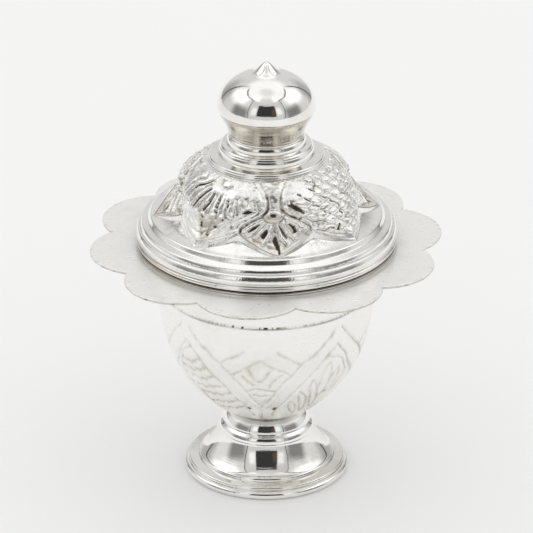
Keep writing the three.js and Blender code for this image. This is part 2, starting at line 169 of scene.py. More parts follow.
FAN_GROOVES = [
    [(-6.6, 7.2, 0.07), (-5.9, 8.7, 0.1), (-5.0, 9.9, 0.07)],
    [(-5.9, 6.9, 0.08), (-5.3, 8.0, 0.1), (-4.6, 9.2, 0.08)],
    [(-5.0, 7.4, 0.1), (-4.5, 8.5, 0.14), (-3.9, 9.3, 0.1)],
    [(-4.9, 10.2, 0.06), (-3.4, 11.1, 0.08)],
    [(-4.2, 9.1, 0.08), (-3.6, 9.8, 0.17), (-2.9, 10.2, 0.15), (-2.2, 10.75, 0.1),
     (-1.6, 11.4, 0.07)],
    [(-4.1, 6.8, 0.07), (-3.4, 8.3, 0.1), (-2.6, 9.5, 0.07)],
    [(-2.4, 9.9, 0.06), (-1.5, 10.7, 0.07)],
    [(-3.15, 6.5, 0.12), (-2.4, 8.1, 0.21), (-1.8, 9.1, 0.16), (-1.2, 10.05, 0.1)],
    [(-2.1, 6.5, 0.06), (-1.5, 8.0, 0.08), (-0.9, 9.2, 0.06)],
    [(-1.5, 6.1, 0.1), (-1.1, 7.0, 0.12), (-0.9, 7.6, 0.1)],
    [(-0.95, 6.6, 0.17), (-0.5, 7.6, 0.18), (-0.3, 8.2, 0.14), (-0.2, 9.6, 0.08)],
    [(0.35, 9.4, 0.05), (0.3, 7.6, 0.08), (0.1, 6.3, 0.06)],
    [(1.15, 9.6, 0.07), (1.15, 8.3, 0.11), (1.2, 7.6, 0.12), (1.4, 6.8, 0.1), (1.9, 5.8, 0.08)],
    [(2.0, 9.2, 0.05), (2.0, 7.6, 0.08), (2.2, 6.8, 0.06)],
    [(2.5, 9.1, 0.08), (2.75, 8.2, 0.13), (2.8, 7.2, 0.08), (3.1, 6.6, 0.08), (3.7, 6.1, 0.1)],
    [(3.3, 8.9, 0.05), (3.6, 7.4, 0.08)], [(3.8, 9.5, 0.06), (4.2, 8.3, 0.09), (4.55, 7.1, 0.12)],
    [(-0.4, 4.9, 0.08), (-0.1, 4.0, 0.12), (0.3, 2.7, 0.1)],
    [(1.35, 5.6, 0.07), (1.3, 4.2, 0.09), (1.25, 2.7, 0.07)], [(4.6, 9.3, 0.05), (5.0, 8.2, 0.08)],
    [(5.3, 9.5, 0.05), (5.6, 8.6, 0.07)], [(6.2, 9.4, 0.06), (6.6, 8.7, 0.11), (6.9, 8.05, 0.09)],
    [(6.8, 9.1, 0.07), (7.15, 8.6, 0.14), (7.35, 8.1, 0.1)],
    [(0.8, 10.85, 0.05), (1.5, 10.9, 0.09), (2.1, 11.3, 0.07)],
    [(0.2, 11.3, 0.05), (0.0, 12.0, 0.06)],
]
FAN_PITS = [
    [(5.55, 7.5, 0.16), (6.0, 7.7, 0.36), (6.5, 7.75, 0.16)],
    [(1.15, 8.85, 0.13), (1.16, 8.75, 0.13)], [(1.14, 8.3, 0.12), (1.16, 8.22, 0.12)],
    [(1.2, 7.65, 0.15), (1.3, 7.6, 0.12)], [(1.36, 6.85, 0.14), (1.4, 6.8, 0.12)],
    [(2.4, 8.95, 0.11), (2.6, 8.9, 0.11)], [(2.72, 8.4, 0.12), (2.8, 8.1, 0.15)],
    [(4.5, 7.2, 0.1), (4.62, 7.05, 0.12)], [(-0.7, 6.8, 0.14), (-0.4, 7.9, 0.16)],
    [(-2.6, 7.6, 0.12), (-2.1, 8.7, 0.16)], [(-3.7, 9.7, 0.12), (-3.0, 10.15, 0.14)],
    [(-0.75, 5.7, 0.13), (-0.5, 5.5, 0.14)], [(-0.4, 4.7, 0.14), (-0.2, 4.0, 0.12)],
    [(0.3, 2.9, 0.13), (0.35, 2.7, 0.1)], [(1.3, 2.9, 0.16), (1.4, 2.6, 0.1)],
    [(1.9, 4.6, 0.2), (2.2, 4.5, 0.14)], [(2.7, 6.1, 0.1), (2.8, 5.8, 0.1)],
]
SCALE_PITS = [
    [(-7.5, 8.7, 0.2), (-7.0, 8.45, 0.44), (-6.5, 8.0, 0.44), (-6.05, 7.25, 0.12)],
    [(-7.0, 9.3, 0.1), (-6.95, 8.8, 0.22)],
    [(-4.8, 9.4, 0.09), (-4.55, 9.1, 0.15), (-4.25, 8.75, 0.09)],
    [(-6.7, 6.6, 0.13), (-6.5, 6.6, 0.1)], [(-5.45, 10.2, 0.1), (-5.1, 9.9, 0.12)],
    [(-3.3, 10.65, 0.08), (-2.95, 10.4, 0.11), (-2.65, 10.05, 0.08)],
    [(-3.5, 7.8, 0.12), (-3.2, 7.65, 0.1)], [(-2.7, 6.65, 0.14), (-2.55, 6.5, 0.1)],
    [(-2.0, 6.2, 0.1), (-1.9, 6.0, 0.08)], [(-0.75, 7.85, 0.14), (-0.5, 7.6, 0.1)],
    [(0.0, 6.2, 0.08), (0.1, 5.3, 0.11)], [(-5.9, 5.3, 0.07), (-6.2, 4.4, 0.12)],
    [(-2.9, 3.85, 0.09), (-2.55, 3.6, 0.14)], [(-1.35, 3.85, 0.17), (-1.85, 3.1, 0.15)],
    [(2.1, 8.1, 0.1), (2.4, 7.7, 0.08)],
]
SCALE_LINES = [
    [(-1.5, 12.0, 0.07), (-1.8, 11.0, 0.1), (-2.6, 10.4, 0.08)],
    [(-3.4, 7.2, 0.07), (-2.7, 7.15, 0.1), (-2.0, 7.35, 0.07)],
    [(-0.9, 8.3, 0.08), (-0.4, 7.5, 0.12), (0.4, 6.5, 0.09)],
    [(-2.2, 9.3, 0.07), (-1.6, 8.6, 0.1), (-0.9, 8.3, 0.08)], [(-4.1, 8.0, 0.09), (-3.6, 7.9, 0.1)],
    [(-5.2, 5.6, 0.1), (-4.0, 5.5, 0.14), (-3.2, 5.1, 0.1)],
    [(-5.0, 4.3, 0.08), (-4.0, 3.7, 0.1), (-3.1, 3.9, 0.08)], [(0.4, 4.8, 0.08), (1.1, 4.1, 0.12)],
]

# Kinds of line on the bowl, straps, fine lines and bold strokes: shares of the groove's width and
# depth, and how dark each is
LINE_KINDS = [(1.0, 1.0, 0.34), (0.9, 0.75, 0.38), (1.3, 0.85, 0.42)]
# Bowl chasing, over half a turn: lines of (turn in degrees from the strap's middle, height)
STRAP_TURNS = (-90, 0, 90)
STRAP_PITS = [[(-9.6, 15.9), (-9.3, 15.7)], [(9.6, 15.9), (9.3, 15.7)]]
STRAP_INNER = [
    (0, 16.1), (3, 17.0), (5.4, 18), (10.8, 20.5), (17.2, 23), (24.4, 25.2), (33.3, 27.55),
    (40.2, 29.6), (44, 31.2),
]
STRAP_OUTER = [
    (8.2, 13.4), (12.2, 15.8), (16.7, 17.5), (23.2, 20.2), (31.2, 22.7), (38.5, 25.3), (45, 27.6),
]
CHEVRONS = [
    [(-15.8, 23.35), (0, 26.4), (15.8, 23.35)], [(-21.6, 25.3), (-9.2, 28.0)],
    [(9.2, 28.0), (21.6, 25.3)],
]
FAN_STROKES = [
    [(-6.6, 24.4), (-3.6, 22.7)], [(2.4, 22.7), (6.4, 24.3)], [(-0.9, 22.2), (0.6, 22.2)],
    [(-10.0, 23.1), (-5.2, 21.4)], [(5.5, 21.3), (11.2, 23.3)],
]
TIE_ARCS = [
    [(-9.3, 20.0), (-5, 20.3), (0, 20.45), (5, 20.3), (8.8, 20.0)],
    [(-4, 19.2), (0, 18.8), (4, 19.2)], [(0, 16.2), (0, 11.0)],
]
FEATHER_OUTLINE = [
    (-43, 26.6), (-50, 25), (-54, 23.0), (-56.3, 20.4), (-53, 18.4), (-47, 16.2), (-43.6, 13.4),
]
FEATHER_STROKES = [
    [(-52.5, 23.6), (-44, 23.6), (-36.5, 24.6)], [(-54.5, 21.9), (-43, 22.0), (-33, 23.2)],
    [(-55, 20.3), (-41, 20.4), (-28.5, 21.7)], [(-52.6, 18.6), (-38, 18.9), (-24, 20.1)],
    [(-48, 17.0), (-34, 17.5), (-20.5, 18.7)], [(-44.6, 15.2), (-31, 16.1), (-17.6, 17.2)],
    [(-43.5, 13.6), (-29, 14.7), (-15, 15.8)],
]
LEAF_OUTLINE = [
    (40.1, 25.9), (43.5, 25.3), (49, 24.4), (54, 23.0), (57.6, 21.2), (56.5, 19.9), (52.6, 18.2),
    (48.9, 16.6), (46, 14.6), (44, 13),
]
LEAVES = [
    ((50.6, 22.6), (45.8, 17.4), 1.15), ((42.6, 24.4), (41.2, 16.6), 1.25),
    ((32.6, 21.4), (39.6, 14.8), 1.2), ((25.4, 19.4), (33.8, 14.0), 1.05),
    ((19.4, 17.2), (27.4, 13.4), 0.9),
]

# Each silver: what sets its roughness, how far film and marks change that, spread of the light
# tarnish, grain of the marks, scale of the film, and the shares of the frost that it shows all
# over and where the punches worked it
SILVERS = {
    "turned_silver": ("polished", 0.05, 1.0, (500.0, 500.0, 3200.0), 90.0, 0.0, 0.0),
    "bowl_silver": ("satin", 0.08, 0.5, (2500.0, 2500.0, 6000.0), 160.0, 0.7, 0.0),
    "flange_silver": ("satin", 0.08, 0.44, (600.0, 3000.0, 3000.0), 420.0, 1.6, 0.0),
    "lid_silver": ("polished", 0.06, 0.5, (2600.0, 2600.0, 2600.0), 180.0, 0.0, 0.5),
}
STAIN_SCALE = 1400.0
MARK_DEPTH = 0.00008
# How much tarnish and painted shade the silver carries where each dark colour begins and where it
# covers
LIGHT_LIMITS = (-0.03, 0.42)
BROWN_LIMITS = (0.42, 0.62)
DEEP_LIMITS = (0.68, 0.95)

# How bright each part of the tent is
TENT = {
    "wall": 0.72, "back": 0.68, "lamps": 1.3, "front": 0.62, "glow": 0.95, "seams": 0.06,
    "opening": 0.04, "top": 1.05, "peak": 0.8, "top_front": 0.72, "top_seam": 0.15,
}
WOOD_COLOUR = (0.1, 0.068, 0.052, 1.0)  # of what shows through the tent's opening
# Greyer parts of the tent's wall: brightness, then the limits and softness of the band they fill,
# in degrees away from the front and in degrees up
WALL_SHADES = [(0.24, (46, 86, 9), (-8, 32, 12)), (0.42, (122, 152, 9), (-8, 32, 10))]


class Socket:
    """An output of a node that takes part in Python expressions."""

    def __init__(self, graph, socket):
        self.graph = graph
        self.socket = socket

    def math(self, operation, *values):
        return self.graph.node("Math", {"operation": operation}, dict(enumerate(values)))

    def __add__(self, other):
        return self.math("ADD", self, other)

    def __sub__(self, other):
        return self.math("SUBTRACT", self, other)

    def __mul__(self, other):
        return self.math("MULTIPLY", self, other)

    def __radd__(self, other):
        return self.math("ADD", other, self)

    def __rsub__(self, other):
        return self.math("SUBTRACT", other, self)

    def __rmul__(self, other):
        return self.math("MULTIPLY", other, self)

    def __neg__(self):
        return self.math("MULTIPLY", self, -1.0)

    def __abs__(self):
        return self.math("ABSOLUTE", self)


class Graph:
    """The nodes of one material or world."""

    def __init__(self, owner):
        owner.use_nodes = True
        self.tree = owner.node_tree
        self.tree.nodes.clear()

    def node(self, kind, settings=None, sockets=None, output=0):
        """Adds a node: first its settings, then the values or links of its sockets."""
        made = self.tree.nodes.new("ShaderNode" + kind)
        for name, value in (settings or {}).items():
            setattr(made, name, value)
        for key, value in (sockets or {}).items():
            if isinstance(value, Socket):
                self.tree.links.new(value.socket, made.inputs[key])
            else:
                made.inputs[key].default_value = value
        return Socket(self, made.outputs[output]) if len(made.outputs) else made

    def step(self, value, low, high):
        """Rises smoothly from 0 to 1 while the value goes from low to high."""
        ranges = {"Value": value, "From Min": low, "From Max": high}
        return self.node("MapRange", {"interpolation_type": "SMOOTHSTEP"}, ranges)

    def band(self, value, low, high, soft):
        """1 between two limits and 0 outside them."""
        past_high = self.step(value, high - soft, high + soft)
        return self.step(value, low - soft, low + soft) * (1 - past_high)

    def blend(self, start, end, factor):
        """Mixes two colours."""
        return self.node("Mix", {"data_type": "RGBA"}, {0: factor, 6: start, 7: end}, 2)

    def tone(self, start, end, factor):
        """A number between two numbers."""
        return start + (end - start) * factor

    def noise(self, vector, scale, detail):
        return self.node("TexNoise", {}, {"Vector": vector, "Scale": scale, "Detail": detail})


def silver(name):
    """Silver with brown tarnish in its recesses, and the same colours as painted shade in gaps,
    under edges and on the knob's cup, fine working marks and a soft film on top.
    The pieces of one kind share it."""
    if name in bpy.data.materials:
        return bpy.data.materials[name]
    finish = bpy.context.scene.kumkum_finish
    base, satin, tarnish, grain, cloud, frost, dulled = SILVERS[name]
    made = bpy.data.materials.new(name)
    graph = Graph(made)
    place = graph.node("TexCoord", output="Object")
    tarnish_and_shade = graph.node("Attribute", {"attribute_name": "tarnish_and_shade"}, output="Fac")
    worked = graph.node("Attribute", {"attribute_name": "worked"}, output="Fac")
    stretched = graph.node("VectorMath", {"operation": "MULTIPLY"}, {0: place, 1: grain})
    marks = graph.noise(stretched, 1.0, 3.0)
    film = graph.noise(place, cloud, 4.0)
    stain = graph.noise(place, STAIN_SCALE, 3.0)
    light_stain, dark_stain = 0.14, 0.3
    spread = tarnish_and_shade + (film - 0.5) * tarnish + (stain - 0.5) * light_stain
    stained = tarnish_and_shade + (stain - 0.5) * dark_stain
    light = graph.step(spread, *LIGHT_LIMITS)
    brown, deep = graph.step(stained, *BROWN_LIMITS), graph.step(stained, *DEEP_LIMITS)
    colour = graph.blend(tuple(finish.silver_colour), tuple(finish.tarnish_and_shade_colour), light)
    colour = graph.blend(colour, tuple(finish.brown_tarnish_and_shade_colour), brown)
    colour = graph.blend(colour, tuple(finish.deep_tarnish_and_shade_colour), deep)
    mark_satin, tarnish_satin = 1.6, 0.1
    rough = getattr(finish, base) + worked * finish.chased + (film - 0.5) * satin
    rough = rough + (marks - 0.5) * satin * mark_satin + light * tarnish_satin
    punched, plain, filmed = 1.5, 0.3, 0.4
    height = marks * (worked * punched + plain) + film * filmed
    frosted = 1 - finish.frost * frost - worked * (finish.frost * dulled)
    bump = graph.node("Bump", {}, {
        "Strength": finish.working_marks, "Distance": MARK_DEPTH, "Height": height})
    shader = graph.node("BsdfPrincipled", {}, {
        "Base Color": colour, "Metallic": frosted, "Roughness": rough, "Normal": bump})
    graph.node("OutputMaterial", {}, {"Surface": shader})
    return made


def smooth(value, low, high):
    """Rises smoothly from 0 to 1 while the value goes from low to high."""
    share = np.clip((value - low) / (high - low), 0, 1)
    return share * share * (3 - 2 * share)


def bell(distance, width):
    """1 at no distance, falling smoothly to almost nothing at twice the width."""
    return np.exp(-(distance / width) ** 2)


def full_turn(columns):
    """The angle of each column of points, from the front round to the right."""
    return np.linspace(0, 2 * np.pi, columns, endpoint=False)


def blurred(values, passes):
    """Spreads a grid of values to its neighbours; columns run round the object."""
    out = values.astype(float)
    for _ in range(passes):
        out = (np.roll(out, 1, 1) + 2 * out + np.roll(out, -1, 1)) / 4
        padded = np.concatenate([out[:1], out, out[-1:]])
        out = (padded[:-2] + 2 * out + padded[2:]) / 4
    return out


def patches(seed, shape, passes):
    """Random soft patches about zero; more passes make them broader and fainter."""
    return blurred(seed.random(shape) - 0.5, passes)


def bezier(corners, steps):
    """Points along a cubic curve through four control points."""
    share = np.linspace(0, 1, steps + 1)[:, None]
    a, b, c, d = (np.array(corner, float) for corner in corners)
    rest = 1 - share
    return rest**3 * a + 3 * rest**2 * share * b + 3 * rest * share**2 * c + share**3 * d


def lengths_along(profile):
    """Length of a profile up to each of its points."""
    steps = np.linalg.norm(np.diff(profile, axis=0), axis=1)
    return np.concatenate([[0], np.cumsum(steps)])


def directions(profile):
    """The way that a profile runs at each of its points."""
    along = np.gradient(profile, axis=0)
    return along / np.linalg.norm(along, axis=1)[:, None]


def scaled(shares, start, run, base, height):
    """Shares of a run and a height turned into points (radius, level)."""
    return [(start + run * out, base + height * up) for out, up in shares]


def rounded(points, reach, closed=False):
    """A profile whose corners turn in short arcs that begin a reach before each corner."""
    points = [np.array(point, float) for point in points]
    count = len(points)
    result = [] if closed else [points[0]]
    most, steps = 0.48, 6
    for i in range(0 if closed else 1, count if closed else count - 1):
        before, corner, after = points[i - 1], points[i], points[(i + 1) % count]
        back, ahead = before - corner, after - corner
        start = corner + back * min(reach / np.linalg.norm(back), most)
        end = corner + ahead * min(reach / np.linalg.norm(ahead), most)
        for share in np.linspace(0, 1, steps):
            rest = 1 - share
            result.append(rest * rest * start + 2 * rest * share * corner + share * share * end)
    if not closed:
        result.append(points[-1])
    return np.array(result)


def offset(profile, distance):
    """A profile moved to its left by a distance; positive is inwards on the way up."""
    along = directions(profile)
    return profile + np.stack([-along[:, 1], along[:, 0]], 1) * distance


def bent(start, end, runs):
    """A turned face from runs of (length, degrees it looks up at the start, and at the end).
    What it misses the end by is spread over its length."""
    points, lengths = [np.zeros(2)], [0.0]
    degrees_a_step = 7
    for length, first, last in runs:
        steps = max(2, round(abs(last - first) / degrees_a_step))
        for i in range(steps):
            lean = math.radians(first + (last - first) * (i + 0.5) / steps)
            way = np.array((-math.sin(lean), math.cos(lean)))
            points.append(points[-1] + way * length / steps)
            lengths.append(lengths[-1] + length / steps)
    start, end = np.array(start, float), np.array(end, float)
    misfit = end - start - points[-1]
    spread = np.array(lengths) / lengths[-1]
    return start + np.array(points) + misfit * spread[:, None]


def hollows(profile, closed):
    """How much each point of a profile lies in a sharp hollow, from 0 to 1."""
    if closed:
        before, after = np.roll(profile, 1, 0), np.roll(profile, -1, 0)
    else:
        before = np.concatenate([profile[:1], profile[:-1]])
        after = np.concatenate([profile[1:], profile[-1:]])
    one, two = profile - before, after - profile
    cross = one[:, 0] * two[:, 1] - one[:, 1] * two[:, 0]
    size = np.linalg.norm(one, axis=1) * np.linalg.norm(two, axis=1) + 1e-9
    turn = -np.arcsin(np.clip(cross / size, -1, 1))
    apart = np.linalg.norm(profile[:, None] - profile[None], axis=2)
    reach, shallow, span = 0.1, 0.3, 1.3
    return np.clip((bell(apart, reach) @ turn - shallow) / span, 0, 1)


def build(name, rows, tarnish_and_shade, body, node, material, closed=False, worked=None):
    """A mesh through rows of points round the axis; a row on the axis becomes one point.
    It carries how much tarnish and painted shade the silver has, and how worked it is."""
    count = rows.shape[1]
    worked = np.zeros(len(rows)) if worked is None else worked
    vertices, marks, tooled, index = [], [], [], []
    for row, dark, rough in zip(rows, tarnish_and_shade, worked):
        if np.ptp(row[:, :2]) < 1e-6:
            index.append(np.full(count, len(vertices)))
            vertices.append(row[0])
            marks.append(float(np.mean(dark)))
            tooled.append(float(np.mean(rough)))
        else:
            index.append(len(vertices) + np.arange(count))
            vertices.extend(row)
            marks.extend(np.broadcast_to(dark, count))
            tooled.extend(np.broadcast_to(rough, count))
    if closed:
        index.append(index[0])
    faces = []
    for lower, upper in zip(index[:-1], index[1:]):
        a, b, c, d = lower, np.roll(lower, -1), np.roll(upper, -1), upper
        if lower[0] == lower[1]:
            faces.extend(np.stack([a, c, d], 1).tolist())
        elif upper[0] == upper[1]:
            faces.extend(np.stack([a, b, c], 1).tolist())
        else:
            faces.extend(np.stack([a, b, c, d], 1).tolist())
    mesh = bpy.data.meshes.new(name)
    mesh.from_pydata((np.array(vertices) * MM).tolist(), [], faces)
    mesh.polygons.foreach_set("use_smooth", [True] * len(mesh.polygons))
    for key, values in (("tarnish_and_shade", marks), ("worked", tooled)):
        attribute = mesh.attributes.new(key, "FLOAT", "POINT")
        attribute.data.foreach_set("value", np.array(values, np.float32))
    mesh.materials.append(material)
    piece = bpy.data.objects.new(name, mesh)
    bpy.context.scene.collection.objects.link(piece)
    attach(piece, body)
    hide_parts(node)


def around(profile, columns, turn=0.0):
    """Rows of points of a profile turned about the axis, from the front towards the right."""
    angle = full_turn(columns) + math.radians(turn)
    x = profile[:, :1] * np.sin(angle)
    y = -profile[:, :1] * np.cos(angle)
    z = np.broadcast_to(profile[:, 1:], x.shape)
    return np.stack([x, y, z], 2)


def turned(name, profile, body, node, closed=False, dark=None):
    """A turned, polished piece, with tarnish where its profile is hollow, and the tarnish and
    painted shade that dark gives.
    """
    profile = np.array(profile, float)
    columns = bpy.context.scene.kumkum_turning.columns
    tarnish_and_shade = 0.5 * hollows(profile, closed)
    if dark is not None:
        tarnish_and_shade = np.maximum(tarnish_and_shade, dark(profile[:, 0], profile[:, 1]))
    rows = around(profile, columns)
    build(name, rows, tarnish_and_shade, body, node, silver("turned_silver"), closed)


def arc(centre, reach, rise, start, end, steps):
    """Points round part of an ellipse, angles in degrees up from the outward radius."""
    angle = np.radians(np.linspace(start, end, steps + 1))
    return np.stack([centre[0] + reach * np.cos(angle), centre[1] + rise * np.sin(angle)], 1)


def half_round(node, low, steps):
    """The outer face of a ring of wire, round from its underside to its top."""
    radius, base, top = measures(node)
    half = (top - base) / 2
    return arc((radius - half, base + half), half, half, low, WIRE_CROWN, steps).tolist()


def wire_ring(name, bore, steps, body, node, dark):
    """A ring of wire with a round outside and a flat bore."""
    _, base, top = measures(node)
    outline = [(bore, base)] + half_round(node, -80, steps) + [(bore, top)]
    turned(name, outline, body, node, closed=True, dark=dark)


def nearest(lines, x, y):
    """Least distance from each point to any of the lines."""
    least = np.full(np.shape(x), 1e9)
    for line in lines:
        for (ax, ay), (bx, by) in zip(line[:-1], line[1:]):
            dx, dy = bx - ax, by - ay
            share = np.clip(((x - ax) * dx + (y - ay) * dy) / (dx * dx + dy * dy + 1e-12), 0, 1)
            least = np.minimum(least, np.hypot(x - ax - share * dx, y - ay - share * dy))
    return least


def stroked(lines, x, y, soft):
    """1 on the strokes and 0 off them; each point of a stroke is (x, y, half width)."""
    result = np.zeros(x.shape)
    for line in lines:
        for (ax, ay, aw), (bx, by, bw) in zip(line[:-1], line[1:]):
            wide = 2 * max(aw, bw)
            near = np.nonzero((x > min(ax, bx) - wide) & (x < max(ax, bx) + wide)
                              & (y > min(ay, by) - wide) & (y < max(ay, by) + wide))
            px, py = x[near] - ax, y[near] - ay
            dx, dy = bx - ax, by - ay
            share = np.clip((px * dx + py * dy) / (dx * dx + dy * dy + 1e-12), 0, 1)
            away = np.hypot(px - share * dx, py - share * dy) / (aw + (bw - aw) * share)
            result[near] = np.maximum(result[near], 1 - smooth(away, 1 - soft, 1 + soft))
    return result


def softened(line, steps=12):
    """A line through the same points without sharp corners."""
    line = np.array(line, float)
    if len(line) < 3:
        return line
    ends = np.concatenate([2 * line[:1] - line[1:2], line, 2 * line[-1:] - line[-2:-1]])
    share = np.linspace(0, 1, steps, endpoint=False)[:, None]
    pieces = []
    for a, b, c, d in zip(ends[:-3], ends[1:-2], ends[2:-1], ends[3:]):
        square, cube = 2 * a - 5 * b + 4 * c - d, 3 * b - a - 3 * c + d
        pieces.append(0.5 * (2 * b + (c - a) * share + square * share**2 + cube * share**3))
    return np.concatenate(pieces + [line[-1:]])


def length_property(name, description, millimetres, precision=5):
    """A size, given in millimetres and held in metres."""
    return bpy.props.FloatProperty(
        name=name, description=description, default=millimetres * MM, unit="LENGTH",
        precision=precision)


def angle_property(name, description, degrees):
    return bpy.props.FloatProperty(
        name=name, description=description, default=math.radians(degrees), subtype="ANGLE")


def amount_property(name, description, default, most=1):
    return bpy.props.FloatProperty(
        name=name, description=description, default=default, min=0, max=most)


def count_property(name, description, default, least, most):
    return bpy.props.IntProperty(
        name=name, description=description, default=default, min=least, max=most)


def colour_property(name, description, colour):
    return bpy.props.FloatVectorProperty(
        name=name, description=description, default=(*colour, 1.0), size=4, subtype="COLOR",
        min=0, max=1)


class KumkumTurning(bpy.types.PropertyGroup):
    columns: count_property("Columns", "Facets round each turned piece", 256, 64, 720)
    sheet: length_property("Sheet", "Thickness of the raised sheet", 0.6)


class KumkumBowlChasing(bpy.types.PropertyGroup):
    columns: count_property("Columns", "Columns of points round the bowl", 640, 160, 800)
    rows: count_property("Rows", "Rows of points up the chased part", 122, 40, 160)
    turn: angle_property("Turn", "Where the middle of the first strap lies", -3.5)
    groove_depth: length_property("Groove depth", "Depth of the chased lines", 0.26)
    groove_width: length_property("Groove width", "Half width of the chased lines", 0.22)
    strap_rise: length_property("Strap rise", "How far the straps stand over the panels", 0.1)


class KumkumLidChasing(bpy.types.PropertyGroup):
    columns: count_property("Columns", "Columns of points round the lid", 576, 160, 720)
    rows: count_property("Rows", "Rows of points up the chased zone", 100, 40, 140)
    turn: angle_property("Turn", "Where the middle of the front flower lies", 5.85)
    facet_rise: length_property("Facet rise", "Height of the zigzag's facet", 0.5)
    flower_floor: length_property("Flower floor", "Height of the ground between the petals", 0.18)
    petal_rise: length_property(
        "Petal rise", "How far the petals stand over the flower's floor", 0.36)
    boss_rise: length_property("Boss rise", "How far the boss stands over the flower's floor", 0.38)
    pit_depth: length_property("Pit depth", "Depth of the dark gaps between the petals", 0.25)
    lobe_rise: length_property("Lobe rise", "Height of the rim of each lobe", 0.7)
    lobe_swell: length_property("Lobe swell", "How far each lobe bulges over its rim", 0.55)
    line_depth: length_property("Line depth", "Depth of the chased lines", 0.16)
    scale_width: length_property("Scale width", "Width of the scales in the scale lobes", 2.05)
    scale_height: length_property("Scale height", "Height of each row of scales", 1.2)
    dents: length_property("Dents", "Depth of the uneven marks that the punches leave", 0.34)


class KumkumFlange(bpy.types.PropertyGroup):
    lobes: count_property("Lobes", "Round lobes of the flange", 10, 4, 24)
    lobe_radius: length_property("Lobe radius", "Radius of each round lobe", 8.7)
    reach: length_property("Reach", "Radius round the tips of the lobes", 28.0)
    turn: angle_property("Turn", "Where the first lobe lies", -7.5)
    ripple: length_property("Ripple", "Slight waves of the hand-cut sheet", 0.012, 6)


class KumkumFinish(bpy.types.PropertyGroup):
    silver_colour: colour_property("Silver", "Colour of the clean silver", (0.955, 0.948, 0.922))
    # The three tarnish colours also paint shade: the dark line in the gap under the lid, the shadow
    # under the flange's rim and the darker reflection on the knob's cup.
    tarnish_and_shade_colour: colour_property(
        "Tarnish", "Colour of the light film in shallow recesses", (0.66, 0.62, 0.545))
    brown_tarnish_and_shade_colour: colour_property(
        "Brown tarnish", "Colour in the deeper lines", (0.29, 0.25, 0.205))
    deep_tarnish_and_shade_colour: colour_property(
        "Deep tarnish", "Colour in the deepest recesses", (0.06, 0.052, 0.046))
    polished: amount_property("Polished", "Roughness of the polished silver", 0.06)
    satin: amount_property("Satin", "Roughness of the bowl and the flange", 0.3)
    chased: amount_property("Chased", "Roughness that the punches add to the lid", 0.2)
    frost: amount_property(
        "Frost", "Share of white, unpolished silver on the bowl and the flange", 0.3)
    working_marks: amount_property(
        "Working marks", "Strength of the fine lines left by the tools", 0.35)


class KumkumStage(bpy.types.PropertyGroup):
    floor_colour: colour_property("Floor", "Colour of the floor", (0.9, 0.9, 0.895))
    brightness: amount_property("Brightness", "Strength of the light tent", 1.0, 10)
    glow: amount_property("Glow", "Even light of the tent on the floor", 1.02, 10)
    distance: length_property("Distance", "From the camera to its target", 665.9)
    target: length_property("Target", "Height of the point that the camera looks at", 34.9)
    pitch: angle_property("Pitch", "How far the camera looks down", 25.42)
    focal: amount_property(
        "Focal length", "Focal length for a sensor 36 mm wide", 284.82, 1000)


class KUMKUM_OT_foot(bpy.types.Operator):
    """Makes the foot's wire ring, its trumpet and the bead under the bowl"""

    bl_idname = "kumkum.foot"
    bl_label = "Foot"

    def execute(self, context):
        self.wire()
        self.trumpet(context.scene.kumkum_turning.sheet / MM)
        self.bead()
        return {"FINISHED"}

    def wire(self):
        radius, _, top = measures("foot_base_ring")
        width, bevel = 1.5, 0.12
        inner = radius - width
        outline = [(inner, bevel), (inner + bevel, 0)] + half_round("foot_base_ring", -78, 26)
        turned("foot_wire", outline + [(inner, top)], "base", "foot_base_ring", closed=True)

    def trumpet(self, sheet):
        lip, base, top = measures("foot_shell")
        riser, turned_edge, lip_width = 0.65, 0.3, 2.05
        inner, stem = lip - lip_width, radius_of("foot_bead") - SLIP
        edge = arc((lip - turned_edge, base + turned_edge), turned_edge, turned_edge, 0, 76, 8)
        face = bent(edge[-1] + (-0.1, 0.01), (stem, top), FLARE_RUNS)
        low = base + sheet + riser
        under = bezier(scaled(FOOT_FLARE_SHARES, inner, stem - inner, low, top - low), 16)
        inside = offset(under, sheet)[::-1]
        inside[0] = (stem - sheet, top)
        outline = np.concatenate([[(inner, base), (lip, base)], edge, face, inside])

        def border(r, z):
            return 0.1 * smooth(r, inner + 0.1, inner + 0.5) * (z < base + 1.2)

        turned("foot_trumpet", outline, "base", "foot_shell", closed=True, dark=border)

    def bead(self):
        radius, base, top = measures("foot_bead")
        shoulder = 1.3
        side = bent((radius, base), (radius - shoulder, top), BEAD_RUNS)
        outline = np.concatenate([[(0, base)], side, [(0, top)]])
        turned("stem_bead", outline, "base", "foot_bead")


